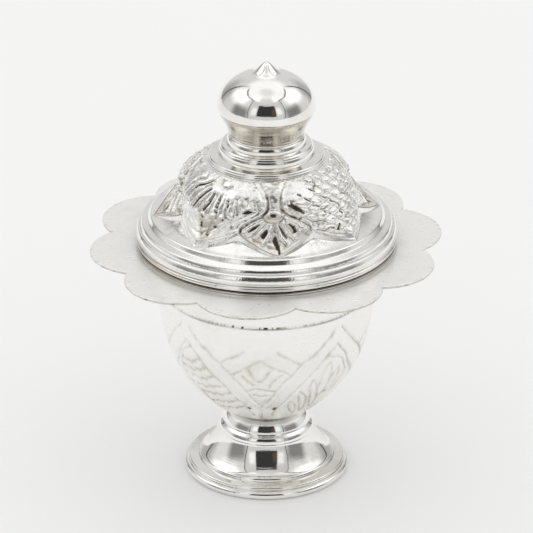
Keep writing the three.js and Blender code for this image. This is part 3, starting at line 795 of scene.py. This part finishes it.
class KUMKUM_OT_bowl(bpy.types.Operator):
    """Makes the bowl, with straps, chevrons, feathers and leaves chased round it"""

    bl_idname = "kumkum.bowl"
    bl_label = "Bowl"

    def execute(self, context):
        chasing = context.scene.kumkum_bowl
        sheet = context.scene.kumkum_turning.sheet / MM
        radius, base, top = measures("bowl_shell")
        columns, turn = chasing.columns, math.degrees(chasing.turn)
        wall = self.side(radius, base, 0, 400)
        length = lengths_along(wall)
        even = np.linspace(0, length[-1], chasing.rows)
        chased = np.stack([np.interp(even, length, wall[:, axis]) for axis in (0, 1)], 1)
        along = directions(chased)
        outward = around(np.stack([along[:, 1], -along[:, 0]], 1), columns, turn)
        relief, dark = self.chasing(chasing, even, chased, length, wall)
        rows = around(chased, columns, turn) + outward * relief[..., None]
        groove = BOWL_SHOULDER + GROOVE_RISE
        band = [(radius - deep, groove + up) for deep, up in GROOVE_PROFILE]
        band += [(radius, BAND_LEVEL), (radius, top - BEVEL), (radius - BEVEL, top),
                 (radius - sheet + BEVEL, top), (radius - sheet, top - BEVEL)]
        inside = self.side(radius, base, sheet, 16)[::-1]
        rest = np.concatenate([band, inside, [(0, base + sheet)]])
        below = around(np.array([(0, base)]), columns)
        rows = np.concatenate([below, rows, around(rest, columns, turn)])
        plain = [np.full(columns, value) for value in hollows(rest, False) * 0.8]
        in_groove = slice(2, 5)
        plain[in_groove] = [self.groove_wear(columns)] * 3
        tarnish_and_shade = [np.zeros(columns), *dark, *plain]
        build("chased_bowl", rows, tarnish_and_shade, "base", "bowl_shell", silver("bowl_silver"))
        return {"FINISHED"}

    def side(self, radius, base, inset, steps):
        """The bowl's round side from its seat up to the shoulder, set in from its outside."""
        depth = BOWL_DEPTH - inset
        low = math.degrees(math.asin((BOWL_SHOULDER - base - inset) / depth))
        return arc((0, BOWL_SHOULDER), radius - inset, depth, -low, 0, steps)

    def groove_wear(self, columns):
        """Tarnish left in the groove, with dark specks at the front."""
        specks = patches(np.random.default_rng(23), (3, columns), 1)[1] * 4
        off_front = 3.5
        away = (np.degrees(full_turn(columns)) + off_front + 180) % 360 - 180
        black = bell(away, 14) * (specks > 0.25)
        return np.clip(0.08 + 0.35 * specks + 0.9 * black, 0, 1)

    def chasing(self, chasing, even, profile, length, wall):
        """Relief and recesses over the chased part, for a full turn."""
        half = chasing.columns // 2
        turn = np.degrees(full_turn(chasing.columns))[:half]
        turn = np.where(turn >= 90, turn - 180, turn)
        x = np.radians(turn)[None, :] * profile[:, :1]
        y = np.broadcast_to(even[:, None], x.shape)

        def laid(line, shift=0, mirror=1):
            """A line of (turn, level) as distances round the bowl and up its side."""
            line = np.array(line, float)
            r = np.interp(line[:, 1], wall[:, 1], wall[:, 0])
            across = np.radians(line[:, 0] * mirror + shift) * r
            return np.stack([across, np.interp(line[:, 1], wall[:, 1], length)], 1)

        width, depth = chasing.groove_width / MM, chasing.groove_depth / MM
        seed = np.random.default_rng(7)
        unsteady, evened = 6, 40
        wander = patches(seed, x.shape, evened) * unsteady
        drift = patches(seed, x.shape, evened) * unsteady
        x, y = x + wander, y + drift
        drawn = self.motif_lines(laid)
        cuts, tarnish, distances = 0, 0, []
        for lines, (wide, deep, dark) in zip(drawn, LINE_KINDS):
            distances.append(nearest(lines, x, y))
            line = bell(distances[-1], wide * width)
            cuts, tarnish = cuts + deep * line, tarnish + dark * line
        worn = np.clip(patches(seed, x.shape, 6) * 6 + 0.75, 0.2, 1)
        grit = np.clip(patches(seed, x.shape, 2) * 3.2 + 0.5, 0, 1)
        relief = chasing.strap_rise / MM * (self.on_strap(drawn[0], x, y) - 0.5) * smooth(y, 4, 8)
        relief = relief - depth * cuts * (0.55 + 0.45 * worn)
        dark = np.clip(tarnish * (0.5 + worn * 0.7), 0, 0.5)
        halo = bell(np.minimum.reduce(distances), 3.2 * width) * grit
        upper, lower = smooth(y, 8, 17), 1 - smooth(y, 3, 11)
        dark = dark * (0.5 + 0.6 * grit) * (1 - 0.45 * upper) + halo * (0.06 + 0.18 * lower)
        pits = [laid(pit, shift) for shift in STRAP_TURNS for pit in STRAP_PITS]
        dark = np.clip(dark + 1.2 * bell(nearest(pits, x, y), 0.35), 0, 1)
        fade = smooth(y, 0.5, 2.0) * (1 - smooth(y, even[-1] - 0.9, even[-1] - 0.1))
        return np.tile(relief * fade, (1, 2)), np.tile(dark * fade, (1, 2))

    def motif_lines(self, laid):
        """The straps' edges, the fine lines and the bold strokes, laid out on the bowl."""
        straps = [laid(softened(line), shift, mirror) for shift in STRAP_TURNS
                  for mirror in (-1, 1) for line in (STRAP_INNER, STRAP_OUTER)]
        fine = [laid(softened(FEATHER_OUTLINE)), laid(softened(LEAF_OUTLINE))]
        bold = [laid(softened(self.wavy(line))) for line in FEATHER_STROKES]
        for shift in STRAP_TURNS:
            fine += [laid(line, shift) for line in CHEVRONS]
            fine += [laid(softened(line), shift) for line in TIE_ARCS]
            bold += [laid(line, shift) for line in FAN_STROKES]
        for leaf in LEAVES:
            fine += [laid(softened(side)) for side in self.leaf(*leaf)]
        return straps, fine, bold

    def wavy(self, line):
        """A feather's barb, drawn with a slightly unsteady hand."""
        line = softened(line)
        share = np.linspace(0, 1, len(line))
        waves, swing, points = 7.5, 0.22, 24
        line[:, 1] += swing * np.sin(share * waves * math.pi) * np.sin(share * math.pi)
        return line[:: max(1, len(line) // points)]

    def leaf(self, tip, root, width):
        """Both sides of a leaf; a degree of turn is about a quarter of a millimetre of height."""
        tip, root = np.array(tip, float), np.array(root, float)
        share = np.linspace(0, 1, 9)[:, None]
        middle = tip + (root - tip) * share
        run, rise = root - tip
        across = np.array([rise * 4, -run / 4])
        across /= np.hypot(across[0] / 4, across[1])
        blunt, fullness = 0.7, 0.62
        swell = np.sin(share * math.pi) ** blunt * width * fullness
        return [middle + across * swell, middle - across * swell]

    def on_strap(self, straps, x, y):
        """1 on the straps and 0 between them."""
        result = np.zeros(x.shape)
        for inner, outer in zip(straps[::2], straps[1::2]):
            to_inner, to_outer = nearest([inner], x, y), nearest([outer], x, y)
            wide = smooth(to_inner + to_outer, 1.9, 2.5)
            far = smooth(np.maximum(to_inner, to_outer), 2.0, 2.6)
            result = np.maximum(result, (1 - wide) * (1 - far))
        return result


class KUMKUM_OT_flange(bpy.types.Operator):
    """Makes the scalloped flange and the ring round the mouth"""

    bl_idname = "kumkum.flange"
    bl_label = "Flange and mouth ring"

    def execute(self, context):
        self.plate(context.scene.kumkum_flange)
        self.ring()
        return {"FINISHED"}

    def plate(self, flange):
        columns, hole = 720, radius_of("bowl_shell") + SLIP
        base, thick = base_of("flange_plate"), top_of("flange_plate") - base_of("flange_plate")
        lobe, reach = flange.lobe_radius / MM, flange.reach / MM
        centre, pitch = reach - lobe, 2 * math.pi / flange.lobes
        angle = full_turn(columns)
        local = (angle - flange.turn + pitch / 2) % pitch - pitch / 2
        outline = centre * np.cos(local) + np.sqrt(lobe**2 - (centre * np.sin(local)) ** 2)
        lip = 0.13
        edge = [(lip, 0), (lip * 0.35, lip * 0.3), (0, lip)]
        steps = [(share, 0, 0) for share in (0, *FLANGE_SHARES)]
        steps += [(1, inset, up) for inset, up in edge]
        steps += [(1, inset, thick - up) for inset, up in edge[::-1]]
        steps += [(share, 0, thick) for share in (*FLANGE_SHARES[::-1], 0)]
        film = 0.5 + 0.5 * np.sin(angle * 23 + 2 * np.sin(angle * 7))
        ahead = bell((angle + np.pi) % (2 * np.pi) - np.pi, 0.55)
        seed = np.random.default_rng(3)
        ripples, whole_wave, crest = 5, 6.28, 0.04
        phases = seed.random((ripples, 2)) * whole_wave
        rows, tarnish_and_shade = [], []
        for share, inset, up in steps:
            radius = hole + (outline - hole) * share - inset
            x, y = radius * np.sin(angle), -radius * np.cos(angle)
            wave = sum(np.sin(x * (0.25 + 0.1 * k) + y * (0.3 - 0.07 * k) + a + b)
                       for k, (a, b) in enumerate(phases))
            wave = np.clip(wave * flange.ripple / MM * share, -crest, 0)
            rows.append(np.stack([x, y, base + up + wave], 1))
            specks = np.clip(1.6 * patches(seed, (3, columns), 1)[1], 0, 0.3)
            # On the flange's side edge: light tarnish and specks on the side face, and on the lower
            # bevel a brown line of painted shade for the shadow under the rim.
            if share == 1:
                tarnish_and_shade.append(0.3 * (inset == 0) + specks if up >= lip else np.full(columns, 0.6))
            elif up > lip and share < 0.6:
                tarnish_and_shade.append((0.06 + (0.16 + 0.6 * ahead) * film) * (0.6 - share))
            else:
                tarnish_and_shade.append(np.zeros(columns))
        build("scalloped_flange", np.array(rows), tarnish_and_shade, "base", "flange_plate",
              silver("flange_silver"), closed=True)

    def ring(self):
        radius, base, top = measures("mouth_ring")
        width = 1.4

        # Light tarnish all round, with a dark line along the top and bottom edges that is oxidised
        # edge and painted shade of the gap under the lid and of the seat on the flange.
        def tarnish_and_gap_shade(r, z):
            return 0.18 + 0.5 * (z > top - 0.2) + 0.6 * (z < base + 0.08)

        wire_ring("mouth_wire", radius - width, 16, "base", "mouth_ring", tarnish_and_gap_shade)


class KUMKUM_OT_lid(bpy.types.Operator):
    """Makes the lid's bezel and guide, and its shell raised into flowers, fans and scales"""

    bl_idname = "kumkum.lid"
    bl_label = "Lid"

    def execute(self, context):
        self.bezel()
        self.guide()
        self.shell(context.scene.kumkum_lid, context.scene.kumkum_turning.sheet / MM)
        return {"FINISHED"}

    def bezel(self):
        base, bore = base_of("lid_bezel"), radius_of("lid_guide") + SLIP

        # Light tarnish all round, with a dark line along the bottom edge that is oxidised edge and
        # painted shade of the gap over the mouth ring.
        def tarnish_and_gap_shade(r, z):
            return 0.12 + 0.56 * (z < base + 0.16)

        wire_ring("bezel_wire", bore, 18, "lid", "lid_bezel", tarnish_and_gap_shade)

    def guide(self):
        radius, base, top = measures("lid_guide")
        play, bevel = 0.3, 0.12
        bore = radius_of("bowl_shell") + play
        corners = [(bore, base), (radius, base), (radius, top), (bore, top)]
        turned("guide_tube", rounded(corners, bevel, True), "lid", "lid_guide", closed=True)

    def shell(self, chasing, sheet):
        radius, base, top = measures("lid_shell")
        foot, crown = radius_of("lid_guide") + SLIP, radius_of("neck_collar") + 0.25
        height, reach = MOULDING_HEIGHT, radius - foot
        curve = scaled(DOME_SHARES, foot, crown - foot, base + height, top - base - height)
        ground = bezier(curve, 300)
        moulding = bent((foot + reach * 0.83, base), ground[0], MOULDING_RUNS)
        columns, turn = chasing.columns, math.degrees(chasing.turn)
        edge = np.concatenate([[(moulding[0][0] - sheet, base)], moulding[:-1]])
        chased, chased_dark, tooled = self.dome(chasing, ground)
        inside = [(0, top), (0, top - sheet)] + offset(bezier(curve, 5), sheet)[::-1].tolist()
        inside += [(foot + reach * 0.3, base + height * 0.6),
                   (foot + reach * 0.78, base + height * 0.22)]
        rows = np.concatenate([around(edge, columns, turn), chased,
                               around(np.array(inside), columns, turn)])
        tarnish_and_shade = [np.full(columns, value) for value in 0.5 * hollows(edge, False)]
        tarnish_and_shade += [*chased_dark, *np.zeros((len(inside), columns))]
        worked = [*np.full((len(edge), columns), WORKED["edge"]), *tooled,
                  *np.full((len(inside), columns), WORKED["inside"])]
        build("repousse_lid", rows, tarnish_and_shade, "lid", "lid_shell", silver("lid_silver"),
              closed=True, worked=worked)

    def dome(self, chasing, ground):
        """Rows of the dome from the moulding up to the collar, their recesses and tool marks."""
        columns = chasing.columns
        share = np.linspace(0, 1, len(ground))
        length = lengths_along(ground)
        turn = np.degrees(full_turn(columns))
        side = (turn + REPEAT / 2) % REPEAT - REPEAT / 2
        fold = 1 - np.abs(np.abs(side) / (REPEAT / 4) - 1)
        foot = ZIGZAG_LEVELS["tip"] + (ZIGZAG_LEVELS["notch"] - ZIGZAG_LEVELS["tip"]) * fold
        seed = np.random.default_rng(31)
        uneven = patches(seed, (3, columns), 12)[1] * 0.05
        foot = foot + uneven
        crest = foot + ZIGZAG_LEVELS["facet"] * (0.3 + 0.75 * fold) * (1 + 6 * np.roll(uneven, 40))
        level_share, height_share, dark_share = np.array(FACET_SHARES).T[..., None]
        below_foot, under_collar = 0.004, 0.995
        slope = np.linspace(0, 1, SLOPE_ROWS)[:, None] * (foot - below_foot)
        facet = foot + (crest - foot) * level_share
        field = crest + (under_collar - crest) * np.linspace(0, 1, chasing.rows)[:, None]
        levels = np.concatenate([slope, facet, field])
        y, r, z = (np.interp(levels, share, values) for values in (length, *ground.T))
        along = directions(ground)
        out_r, out_z = np.interp(levels, share, along[:, 1]), -np.interp(levels, share, along[:, 0])
        step = chasing.facet_rise / MM * (0.4 + 0.6 * fold)
        crest_y = np.interp(crest, share, length)
        height, dark, tooled = self.motifs(chasing, turn, levels, y, r, crest, crest_y, step)
        below, facets = slice(0, SLOPE_ROWS), slice(SLOPE_ROWS, SLOPE_ROWS + len(FACET_SHARES))
        tooled[below], tooled[facets] = WORKED["slope"], WORKED["facet"]
        height[below], dark[below] = self.slope(side, seed)
        height[facets] = height_share * height[facets.stop]
        dark[facets] = np.clip(0.12 + 5 * np.roll(uneven, 90), 0, 0.3) * dark_share
        tip_line = bell(side, 13) * (0.55 + 6 * np.roll(uneven, 200))
        tip_line = tip_line * np.where(side < 0, 1.0, 0.55)
        for row, strength in ((SLOPE_ROWS, 0.6), (SLOPE_ROWS + 1, 0.3)):
            dark[row] = np.clip(dark[row] + strength * tip_line, 0, 0.75)
        angle = np.radians(turn) + chasing.turn
        radius, level = r + out_r * height, z + out_z * height
        return np.stack([radius * np.sin(angle), -radius * np.cos(angle), level], 2), dark, tooled

    def slope(self, side, seed):
        """Height and tarnish of the plain slope: faint wedges that narrow up to the notches."""
        down = np.linspace(1, 0, SLOPE_ROWS)[:, None]
        notch = np.where(side < 0, -REPEAT / 4, REPEAT / 4)
        lean, sunk, tarnish = 1.5, 0.035, 0.1
        off_notch = np.abs(side - notch + lean * down)
        wedge = 1 - smooth(off_notch, 0.5 + 2.4 * down, 3.6 + 5 * down)
        grain = np.clip(0.6 + 8 * patches(seed, (SLOPE_ROWS, len(side)), 2), 0, 1.3)
        return -sunk * wedge * (1 - down), np.clip(tarnish * wedge * grain, 0, 0.4)

    def motifs(self, chasing, turn, levels, y, r, crest, crest_y, step):
        """Height of the flowers and lobes over the ground, recesses and tool marks."""
        turn = (turn + REPEAT) % (2 * REPEAT) - REPEAT
        half = REPEAT / 2
        flower_middle = np.round(turn / REPEAT) * REPEAT
        place = np.abs(turn - flower_middle) / half
        edge = np.interp(levels, FLOWER_EDGE_LEVELS, FLOWER_EDGE_SHARES)
        x_flower = np.radians(turn - flower_middle)[None, :] * r
        x_lobe = np.radians(turn - np.where(turn < 0, -half, half))[None, :] * r
        lowest, far_away = 0.3, 9.0
        beside = (place[None, :] - edge) * math.radians(half) * r
        beside = np.where(levels > lowest, beside, far_away)
        to_edge = np.abs(beside) * np.interp(levels, SLANT_LEVELS, SLANT_SHARES)
        above = (y - crest_y) * 0.86
        share = np.clip((levels - crest) / (1 - crest), 0, 1)
        seed = np.random.default_rng(11)
        dents = patches(seed, levels.shape, 5) + 1.4 * patches(seed, levels.shape, 14)
        flower, flower_dark = self.flower(chasing, x_flower, y, above, share, step)
        across = np.clip((place[None, :] - edge) / (1 - edge), 0, 1)
        inset = np.minimum(to_edge, above)
        lobe, lobe_dark = self.lobe(chasing, turn, x_lobe, y, inset, beside, share, across)
        lobe = step + (lobe - step) * smooth(above, -0.1, 1.0)
        in_flower = place[None, :] < edge
        height = np.where(in_flower, flower, lobe)
        dark = np.where(in_flower, flower_dark, lobe_dark)
        wide = np.maximum(0.2 * (0.75 + 3 * dents), 0.08)
        seam = bell(beside + 0.08, wide) * smooth(above, 0.1, 0.5)
        seam = seam * (1 - 0.55 * smooth(levels, 0.78, 0.84))
        height = height - 0.12 * seam + chasing.dents / MM * dents * smooth(above, 0.1, 0.6)
        dark = np.clip(np.maximum(dark, 0.95 * seam * (0.7 + 4 * dents)), 0, 1)
        top_fade = 1 - smooth(levels, 0.975, 0.995)
        tooled = np.clip(0.85 + 2.5 * dents, 0.4, 1.2) * np.ones(levels.shape)
        return height * top_fade, dark * top_fade, tooled

    def flower(self, chasing, x, y, above, share, step):
        """Petals round the lower half of a boss, and a plain strip that runs up to the collar."""
        thin, dot_depth, strip_rise = 0.08, 0.2, 0.3
        floor, rise = chasing.flower_floor / MM, chasing.petal_rise / MM
        inner = smooth(above, 0.18, 0.4)
        ridge = stroked(FLOWER_RIDGES, x, y, 0.6)
        vein = stroked(FLOWER_VEINS, x, y, 0.5)
        pit = stroked(FLOWER_PITS, x, y, 0.3)
        height = floor + rise * ridge - thin * vein - chasing.pit_depth / MM * pit
        ring = np.hypot((x - BOSS_CENTRE[0]) / BOSS_REACH[0], (y - BOSS_CENTRE[1]) / BOSS_REACH[1])
        boss = chasing.boss_rise / MM * np.sqrt(np.clip(1 - ring**2, 0, 1))
        dot = stroked([BOSS_DOT], x, y, 0.3)
        height = np.where(ring < 1, np.maximum(height, floor + boss), height) - dot_depth * dot
        strip_foot, strip_full = 7.6, 8.6
        strip = smooth(y, strip_foot, strip_full)
        strip_height = floor + strip_rise - 0.12 * x * x - 0.1 * smooth(share, 0.7, 1.0)
        height = height * (1 - strip) + strip * strip_height
        mark_across, mark_up, mark_radius = 0.3, 12.55, 0.42
        from_mark = np.hypot((x - mark_across) / 1.3, y - mark_up)
        mark = bell(from_mark - mark_radius, 0.12) * (y < mark_up + 0.05)
        rim = bell(above - 0.14, 0.09) * np.where(x < 0, 1.0, 0.6) * (y < 6)
        outline = bell(ring - 1.07, 0.08) * (y < BOSS_CENTRE[1] + 0.2)
        height = step * (1 - inner) + height * inner - thin * rim - thin * outline - thin * mark
        ground = (1 - ridge) * (1 - strip) * inner * smooth(PETALS_END - y, -0.4, 0.4)
        low_boss = (ring < 1) * smooth(BOSS_CENTRE[1] + 0.3 - y, -0.3, 0.5)
        recesses = {"ground": ground, "boss": low_boss, "vein": vein, "outline": outline,
                    "mark": mark, "rim": rim}
        dark = [FLOWER_DARK[name] * tarnish_and_shade for name, tarnish_and_shade in recesses.items()]
        return height, np.clip(np.maximum.reduce([pit, dot, *dark]), 0, 1)

    def lobe(self, chasing, turn, x, y, inset, beside, share, across):
        """A bulging lobe, flush with the CAD's, with a border and a fan or scales inside it."""
        window = np.sin(math.pi * (0.1 + 0.9 * share))
        swell = chasing.lobe_swell / MM * np.sqrt(1 - (1 - across) ** 2) * window
        fade = np.clip((1 - share) / 0.45, 0, 1)
        height = chasing.lobe_rise / MM * fade + swell
        height = height * (0.35 + 0.65 * smooth(beside, -0.02, 0.28))
        border = 0.72
        groove = bell(inset - border, 0.13) * (1 - smooth(share, 0.55, 0.75))
        field = smooth(inset, border, border + 0.25)
        is_fan = np.broadcast_to(turn < 0, x.shape)
        fan, fan_dark = self.fan(chasing, x, y, field)
        scale, scale_dark = self.scales(chasing, x, y, field)
        dark = np.maximum(np.where(is_fan, fan_dark, scale_dark), 0.16 * groove)
        return height + np.where(is_fan, fan, scale) - 0.1 * groove, np.clip(dark, 0, 1)

    def fan(self, chasing, x, y, field):
        """Fluted leaves that spread from the fan's middle, with a ribbed wedge below them."""
        groove = stroked(FAN_GROOVES, x, y, 0.5)
        thin = 0.14
        broad_lines = [line for line in FAN_GROOVES if max(half for _, _, half in line) > thin]
        broad = stroked(broad_lines, x, y, 0.4)
        pit = stroked(FAN_PITS, x, y, 0.35)
        lines = [[point[:2] for point in line] for line in FAN_GROOVES]
        leaf = 1 - bell(nearest(lines, x, y), 0.4)
        below = smooth(PETALS_END - y, -0.3, 0.8)
        up = y - 2.2
        off_stem = x - 0.8
        wedge = below * (1 - smooth(np.abs(off_stem), 0.2 + 0.5 * up, 0.9 + 0.55 * up))
        ribs = np.sin(off_stem / np.maximum(y - 1.2, 0.8) * 13)
        height = 0.16 * leaf * field * (1 - 0.7 * below) + 0.05 * ribs * wedge * field
        height = height - chasing.line_depth / MM * (groove + 0.4 * broad) - 0.1 * pit
        recesses = {"groove": groove, "broad": broad, "wedge": wedge, "between": (1 - leaf) * field}
        dark = [FAN_DARK[name] * tarnish_and_shade for name, tarnish_and_shade in recesses.items()]
        return height * (0.3 + 0.7 * field), np.maximum.reduce([pit, *dark])

    def scales(self, chasing, x, y, field):
        """Pillow-like scales in rows, each over the one below, no two alike."""
        pitch, step = chasing.scale_width / MM, chasing.scale_height / MM
        seed = np.random.default_rng(5)
        first_row, stray_across, stray_up = 2.6, 0.25, 0.15
        centres = [((k + 0.5 * (row % 2)) * pitch + seed.uniform(-stray_across, stray_across),
                    first_row + row * step + seed.uniform(-stray_up, stray_up))
                   for row in range(10) for k in range(-5, 6)]
        reach = np.stack([np.hypot((x - across) / 1.25 + 0.35 * (y - up), (y - up) * 1.05)
                          for across, up in centres])
        reach.sort(axis=0)
        gap = (reach[1] - reach[0]) / 1.2
        pillow = np.sqrt(smooth(gap, 0.0, 0.75))
        wide = 0.1 + 0.06 * np.sin(x * 2.3 + y * 1.7) + 0.04 * np.sin(x * 5.1 - y * 3.3)
        line = bell(gap, np.maximum(wide, 0.05))
        worn = np.clip(0.62 + 0.4 * np.sin(x * 1.7 - y * 2.9) * np.cos(x * 0.9 + y * 2.1), 0.1, 1)
        cut = stroked(SCALE_LINES, x, y, 0.5)
        pit = stroked(SCALE_PITS, x, y, 0.35)
        plain = 1 - smooth(-x, 2.2, 4.2) * smooth(y, 8.3, 9.8)
        height = 0.3 * (pillow - 0.5) * field * plain
        height = height - chasing.line_depth / MM * 0.7 * cut - 0.16 * pit
        gap_dark = SCALE_DARK["gap"] * line * worn * field * plain
        return height, np.maximum.reduce([gap_dark, SCALE_DARK["cut"] * cut, pit])


class KUMKUM_OT_knob(bpy.types.Operator):
    """Makes the stepped collar, the cup and the onion dome of the knob"""

    bl_idname = "kumkum.knob"
    bl_label = "Collar and knob"

    def execute(self, context):
        sheet = context.scene.kumkum_turning.sheet / MM
        self.collar()
        self.cup(sheet)
        self.onion(sheet)
        return {"FINISHED"}

    def collar(self):
        radius, base, top = measures("neck_collar")
        undercut, wall = 0.15, 1.8
        side = bent((radius - undercut, base), (COLLAR_NECK, top), COLLAR_RUNS)
        bore = COLLAR_NECK - wall
        outline = np.concatenate([[(bore, base)], side, [(bore, top)]])
        turned("stepped_collar", outline, "lid", "neck_collar", closed=True)

    def cup(self, sheet):
        radius, base, top = measures("knob_cup")
        run = radius - COLLAR_NECK
        # The cup's even film is a warm tarnish that also paints the darker reflection of the collar
        # and lid on its downward-facing wall, and its foot gets more of both.
        softness, film, foot_tarnish_and_shade, reach = 0.35, 0.34, 0.1, 0.6
        wall = rounded(scaled(CUP_SHARES, COLLAR_NECK, run, base, top - base), softness)
        inside = offset(wall[::8], sheet)[::-1][1:-1]
        outline = [(0, base)] + wall.tolist() + [(radius - sheet, top)] + inside.tolist()
        outline += [(COLLAR_NECK - sheet, base + sheet), (0, base + sheet)]
        turned("knob_cup_wall", outline, "lid", "knob_cup",
               dark=lambda r, z: film + foot_tarnish_and_shade * smooth(base + reach - z, 0, reach))

    def onion(self, sheet):
        radius, base, top = measures("knob_dome")
        rim, rise, tip = 0.4, 5.85, 2.7
        equator = base + rim
        crown = math.degrees(math.acos(tip / radius))
        outside = arc((0, equator), radius, rise, 0, crown, 60)
        start, level = outside[-1]
        point = bezier(scaled(TIP_SHARES, start, -start, level, top - level), 24)
        inside = arc((0, equator), radius - sheet, rise - sheet, 90, 0, 12)
        point[-1][0] = inside[0][0] = 0
        lip = radius - rim / 2
        under = rounded([(radius - sheet, equator), (lip - sheet, base), (lip, base),
                         (radius, base + rim / 2), (radius, equator)], 0.12)
        outline = np.concatenate([inside, under[1:-1], outside, point[1:]])
        turned("onion_knob", outline, "lid", "knob_dome")


class KUMKUM_OT_stage(bpy.types.Operator):
    """Makes the pale floor, the light tent and the camera"""

    bl_idname = "kumkum.stage"
    bl_label = "Floor, light tent and camera"

    def execute(self, context):
        stage = context.scene.kumkum_stage
        self.floor(stage)
        self.tent(stage)
        self.camera(stage)
        context.scene.view_settings.view_transform = "Standard"
        return {"FINISHED"}

    def floor(self, stage):
        material = bpy.data.materials.new("pale_floor")
        graph = Graph(material)
        place = graph.node("TexCoord", output="Object")
        mottle = graph.noise(place, 30.0, 3.0)
        colour = tuple(stage.floor_colour)
        darker = tuple(channel * 0.985 for channel in colour[:3]) + (1.0,)
        shader = graph.node("BsdfPrincipled", {}, {
            "Base Color": graph.blend(colour, darker, mottle), "Roughness": 0.9,
            "Specular IOR Level": 0.1})
        graph.node("OutputMaterial", {}, {"Surface": shader})
        mesh = bpy.data.meshes.new("floor")
        half = 4.0
        corners = [(-half, -half, 0), (half, -half, 0), (half, half, 0), (-half, half, 0)]
        mesh.from_pydata(corners, [], [(0, 1, 2, 3)])
        mesh.materials.append(material)
        floor = bpy.data.objects.new("floor", mesh)
        bpy.context.scene.collection.objects.link(floor)

    def tent(self, stage):
        """Paints the tent's walls, lamps and the opening round the camera by direction."""
        world = bpy.data.worlds.new("light_tent")
        bpy.context.scene.world = world
        world.cycles.sampling_method = "NONE"
        graph = Graph(world)
        way = graph.node("TexCoord", output="Generated")
        x, y, z = (graph.node("SeparateXYZ", {}, {0: way}, axis) for axis in range(3))
        bearing = x.math("ARCTAN2", x, -y) * math.degrees(1)
        rise = z.math("ARCSINE", z) * math.degrees(1)
        away = abs(bearing)
        behind = graph.step(away, 110, 150)
        low = graph.tone(1 - graph.step(rise, 57, 61), 1 - graph.step(rise, 44, 62), behind)
        light = graph.tone(TENT["wall"], TENT["back"], behind)
        lamp = graph.band(away, 70, 126, 14) * graph.step(rise, 18, 42)
        light = graph.tone(light, TENT["lamps"], lamp)
        for shade, across, up in WALL_SHADES:
            light = graph.tone(light, shade, graph.band(away, *across) * graph.band(rise, *up))
        edge = 42 + rise * 0.154
        light = graph.tone(light, TENT["front"], 1 - graph.step(away - edge, -0.6, 0.6))
        glow = graph.band(away, 25, 38, 3) * graph.band(rise, 16, 40, 6)
        light = graph.tone(light, TENT["glow"], glow)
        seam = graph.band(away - edge, -1.0, 1.0, 0.7) + graph.band(away, 133.5, 136.5, 0.8)
        light = graph.tone(light, TENT["seams"], seam * low)
        opening = (1 - graph.step(away, 22.6, 24.2)) * graph.band(rise, 12, 49, 1.2)
        light = graph.tone(light, TENT["opening"], opening)
        top = graph.tone(TENT["top"], TENT["peak"], graph.step(rise, 72, 86))
        front = (1 - graph.step(away, 20, 36)) * (1 - graph.step(rise, 66, 80))
        top = graph.tone(top, TENT["top_front"], front)
        light = graph.tone(top, light, low)
        arc_seam = graph.band(rise, 58, 60.5, 0.8) * graph.band(away, 48, 125, 8)
        light = graph.tone(light, TENT["top_seam"], arc_seam)
        wood = graph.step(bearing, 12, 15) * opening * graph.band(rise, 16, 36, 4)
        colour = graph.blend(light * stage.brightness, WOOD_COLOUR, wood)
        diffuse = graph.node("LightPath", output="Is Diffuse Ray")
        colour = graph.blend(colour, (stage.glow, stage.glow, stage.glow, 1.0), diffuse)
        background = graph.node("Background", {}, {"Color": colour, "Strength": 1.0})
        graph.node("OutputWorld", {}, {"Surface": background})

    def camera(self, stage):
        data = bpy.data.cameras.new("camera")
        data.lens, data.sensor_width = stage.focal, 36.0
        data.clip_start, data.clip_end = 0.01, 50.0
        camera = bpy.data.objects.new("camera", data)
        bpy.context.scene.collection.objects.link(camera)
        back = Vector((0, -math.cos(stage.pitch), math.sin(stage.pitch)))
        camera.location = Vector((0, 0, stage.target)) + back * stage.distance
        camera.rotation_mode = "QUATERNION"
        camera.rotation_quaternion = (-back).to_track_quat("-Z", "Y")
        bpy.context.scene.camera = camera


PIECES = (
    KUMKUM_OT_foot, KUMKUM_OT_bowl, KUMKUM_OT_flange, KUMKUM_OT_lid, KUMKUM_OT_knob,
    KUMKUM_OT_stage,
)
GROUPS = {
    "kumkum_turning": KumkumTurning, "kumkum_bowl": KumkumBowlChasing,
    "kumkum_lid": KumkumLidChasing, "kumkum_flange": KumkumFlange,
    "kumkum_finish": KumkumFinish, "kumkum_stage": KumkumStage,
}


class KUMKUM_PT_sidebar(bpy.types.Panel):
    bl_idname = "KUMKUM_PT_sidebar"
    bl_label = "Kumkum box"
    bl_space_type = "VIEW_3D"
    bl_region_type = "UI"
    bl_category = "Kumkum box"

    def draw(self, context):
        for name, group in GROUPS.items():
            column = self.layout.column(align=True)
            for key in group.__annotations__:
                column.prop(getattr(context.scene, name), key)
        for piece in PIECES:
            self.layout.operator(piece.bl_idname)


def register():
    for one in (*GROUPS.values(), *PIECES, KUMKUM_PT_sidebar):
        bpy.utils.register_class(one)
    for name, group in GROUPS.items():
        setattr(bpy.types.Scene, name, bpy.props.PointerProperty(type=group))


def unregister():
    for name in GROUPS:
        delattr(bpy.types.Scene, name)
    for one in (KUMKUM_PT_sidebar, *reversed(PIECES), *reversed(GROUPS.values())):
        bpy.utils.unregister_class(one)


def main():
    register()
    pieces = bpy.ops.kumkum
    for make in (pieces.foot, pieces.bowl, pieces.flange, pieces.lid, pieces.knob, pieces.stage):
        make()


if __name__ == "__main__":
    main()
